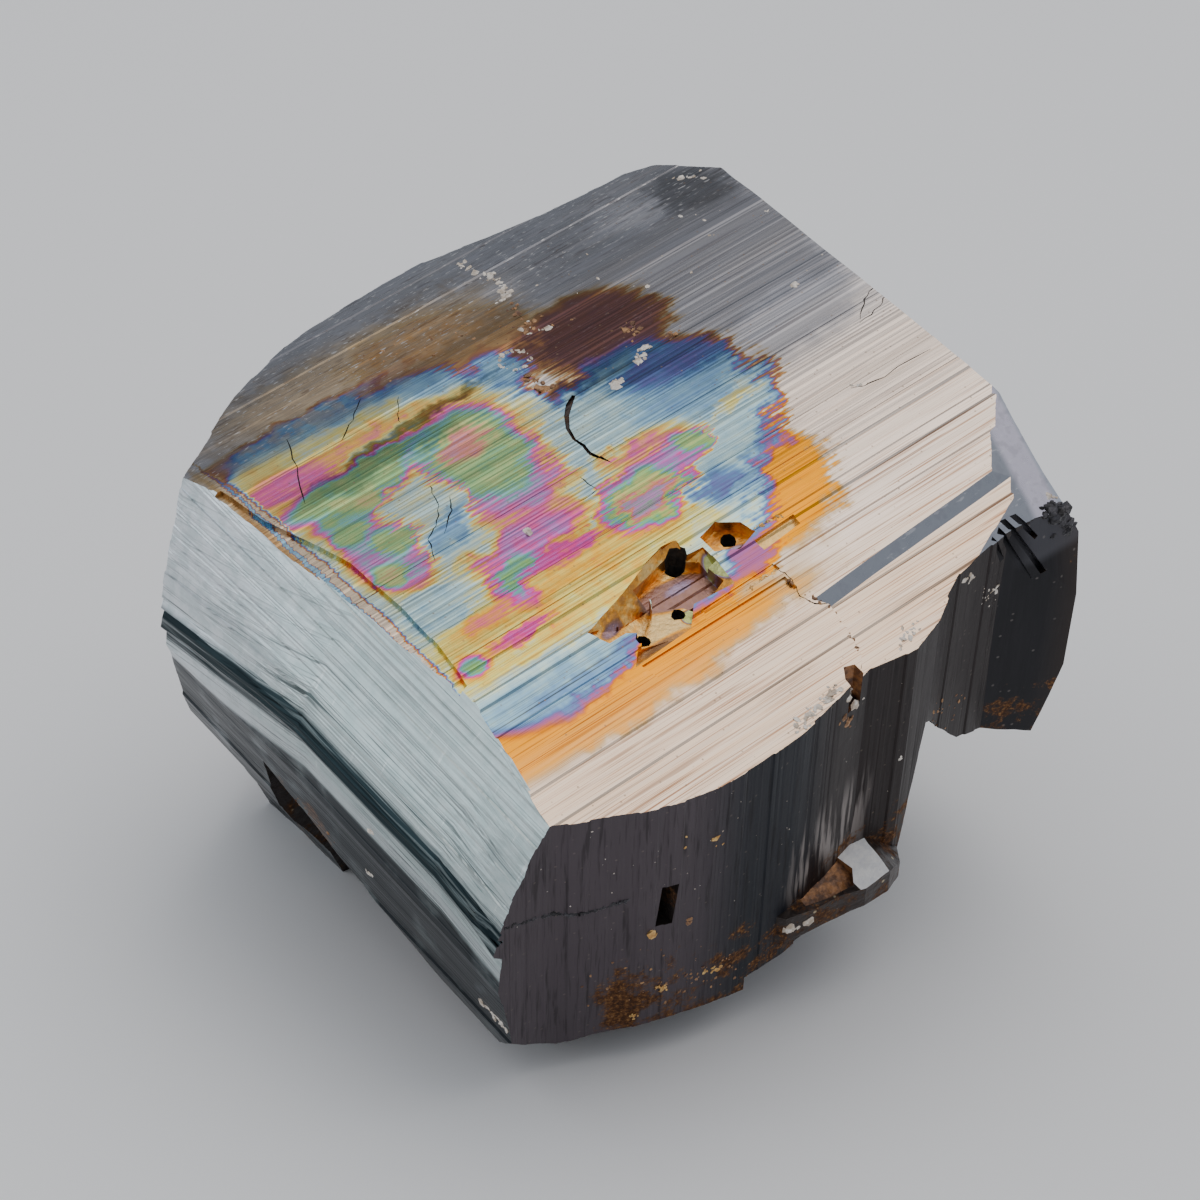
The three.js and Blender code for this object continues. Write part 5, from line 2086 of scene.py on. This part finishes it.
@dataclass
class Crystal:
    """The whole crystal, from bars to the finished piece."""

    stance: Stance = Stance()
    block: MainBlock = MainBlock()
    small: SmallCrystal = SmallCrystal()
    ledge: FrontLedge = FrontLedge()
    relief: TopRelief = TopRelief()
    damage: FrontDamage = FrontDamage()
    base: BrokenBase = BrokenBase()

    def finishes(self, effects: SharedEffects) -> dict[Surface, bpy.types.Material]:
        """Makes the finishes of the crystal.

        Args:
            effects: The shared groups.

        Returns:
            The material of each kind of surface.
        """
        return {
            Surface.TOP: TarnishedTop().build(effects),
            Surface.LEFT: SilverLeft().build(effects),
            Surface.RIGHT: GreyFace("grey_right", "c", "b").build(effects),
            Surface.FRONT: PaintedShadeFront().build(effects),
            Surface.BACK: GreyFace("grey_back", "a", "c").build(effects),
            Surface.SMALL: PaintedShadeSmall().build(effects),
            Surface.PIT: GoldPit().build(effects),
            Surface.BROKEN: BrokenRust().build(effects),
            Surface.HOLE: PaintedShadeHole().build(effects),
            Surface.BEVEL: PaleBevel().build(effects),
            Surface.RUSTY: Crumb("rusty_recess", (0.42, 0.19, 0.07), (0.12, 0.055, 0.03), 0.2).build(effects),
            # Painted highlight: the near-white right part of the ledge's top
            Surface.PAINTED_HIGHLIGHT: Crumb("painted_highlight_facet", (0.97, 0.96, 0.94), (0.84, 0.84, 0.85), 0.1).build(effects),
        }

    def solid(self) -> Solid:
        """Returns the finished solid, in crystal millimetres."""
        crystal = self.block.build()
        crystal.cut(self.small.hollow())
        crystal.join(self.small.build())
        crystal.join(self.ledge.build())
        self.relief.apply(crystal, self.block)
        for ends in self.small.grooves:
            crystal.cut(self.small.groove(ends))
        self.damage.apply(crystal, self.block)
        self.base.apply(crystal)
        return crystal

    def build(self) -> list[bpy.types.Object]:
        """Returns the crystal and its crumbs as objects in the shared frame, in metres."""
        effects = SharedEffects(self.stance)
        kinds = [
            Crumb("pale_crumb", (0.86, 0.80, 0.72), (0.52, 0.42, 0.32)).build(effects),
            Crumb("gold_crumb", (0.90, 0.62, 0.26), (0.55, 0.30, 0.10), 0.9).build(effects),
            Crumb("rust_crumb", (0.50, 0.27, 0.12), (0.14, 0.07, 0.04)).build(effects),
            Crumb("dark_crumb", (0.075, 0.072, 0.08), (0.012, 0.011, 0.012), 0.5).build(effects),
        ]
        mesh = self.solid().mesh
        shape = bmesh.new()
        shape.from_mesh(mesh)
        ground = BVHTree.FromBMesh(shape)
        shape.free()
        mesh.name = "crystal"
        mesh.transform(self.stance.matrix() @ Matrix.Scale(MM, 4))
        for surface, material in self.finishes(effects).items():
            mesh.materials[surface.value] = material
        return [hand_over("crystal", mesh), Crumbs().build(ground, self.stance, kinds)]


# Where the lamps point, in metres above the ground
AIM_HEIGHT = 0.02


@dataclass(frozen=True)
class Lamp:
    """A soft light that faces the crystal, with metres for its place and size and watts for its power."""

    name: str
    spot: Triple
    size: Pair
    power: float
    colour: Triple

    def hang(self) -> None:
        """Puts the lamp into the scene."""
        data = bpy.data.lights.new(self.name, "AREA")
        data.shape = "RECTANGLE"
        data.size, data.size_y = self.size
        data.energy = self.power
        data.color = self.colour
        lamp = show(self.name, data)
        lamp.location = self.spot
        lamp.rotation_mode = "QUATERNION"
        aim = Vector((0, 0, AIM_HEIGHT)) - Vector(self.spot)
        lamp.rotation_quaternion = aim.to_track_quat("-Z", "Y")


@dataclass(frozen=True)
class Studio:
    """The camera at the photograph's angle, a pale floor and soft lights."""

    stance: Stance = Stance()
    lens: float = 105.0
    sensor: float = 36.0
    turn: float = math.radians(40)
    tilt: float = math.radians(50)
    roll: float = math.radians(1.2)
    offset: Triple = (-2.5, 11.4, 175.0)
    # Half the floor's width in metres, its grey and its roughness
    half_floor: float = 1.5
    floor_grey: float = 0.93
    floor_roughness: float = 0.9
    # The sky's colour by height, from the floor up, and how bright it is
    sky_colours: Stops = (
        (0.0, (0.42, 0.46, 0.52)), (0.45, (0.5, 0.53, 0.58)), (0.95, (0.95, 0.96, 1.0)),
    )
    sky_strength: float = 0.9
    lamps: tuple[Lamp, ...] = (
        Lamp("top_light", (0.12, -0.08, 0.5), (0.56, 0.4), 0.62, (1, 0.95, 0.9)),
        Lamp("left_light", (-0.45, 0.25, 0.12), (0.3, 0.3), 0.4, (0.9, 0.97, 1)),
    )

    def camera(self) -> None:
        """Places the camera in crystal axes and carries it into the shared frame."""
        right = Vector((math.cos(self.turn), -math.sin(self.turn), 0))
        away = Vector((math.sin(self.turn), math.cos(self.turn), 0))
        ahead = math.cos(self.tilt) * away - math.sin(self.tilt) * Vector((0, 0, 1))
        above = math.sin(self.tilt) * away + math.cos(self.tilt) * Vector((0, 0, 1))
        cos, sin = math.cos(self.roll), math.sin(self.roll)
        x_axis = cos * right + sin * above
        y_axis = -sin * right + cos * above
        x, y, z = self.offset
        spot = -(x_axis * x - y_axis * y + ahead * z)
        axes = Matrix((x_axis, y_axis, -ahead)).transposed()
        data = bpy.data.cameras.new("camera")
        data.lens = self.lens
        data.sensor_width = self.sensor
        data.clip_start = 0.005
        data.clip_end = 20
        camera = show("camera", data)
        place = Matrix.Translation(spot * MM) @ axes.to_4x4()
        camera.matrix_world = self.stance.matrix() @ place
        bpy.context.scene.camera = camera

    def floor(self) -> None:
        """Lays a plain pale floor."""
        half = self.half_floor
        mesh = bpy.data.meshes.new("floor")
        corners = [(-half, -half, 0), (half, -half, 0), (half, half, 0), (-half, half, 0)]
        mesh.from_pydata(corners, [], [(0, 1, 2, 3)])
        material = bpy.data.materials.new("pale_floor")
        material.use_nodes = True
        shader = material.node_tree.nodes["Principled BSDF"]
        shader.inputs["Base Color"].default_value = (*(self.floor_grey,) * 3, 1)
        shader.inputs["Roughness"].default_value = self.floor_roughness
        mesh.materials.append(material)
        floor = show("floor", mesh)

    def build(self) -> None:
        """Makes the camera, the floor, the surrounding light and the lamps."""
        self.camera()
        self.floor()
        world = bpy.data.worlds.new("studio")
        world.use_nodes = True
        graph = Graph(world.node_tree)
        height = graph.split(graph.node("TexCoord").outputs["Generated"])[2]
        sky = graph.ramp(height, self.sky_colours)
        background = world.node_tree.nodes["Background"]
        graph.feed(background.inputs["Color"], sky)
        background.inputs["Strength"].default_value = self.sky_strength
        bpy.context.scene.world = world
        for lamp in self.lamps:
            lamp.hang()


def main() -> None:
    """Builds the crystal and its studio, and reports each piece."""
    logging.basicConfig(level=logging.INFO, format="%(message)s", stream=sys.stdout)
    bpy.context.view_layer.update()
    Studio().build()
    for piece in Crystal().build():
        log.info("%s: %d faces", piece.name, len(piece.data.polygons))


if __name__ == "__main__":
    main()
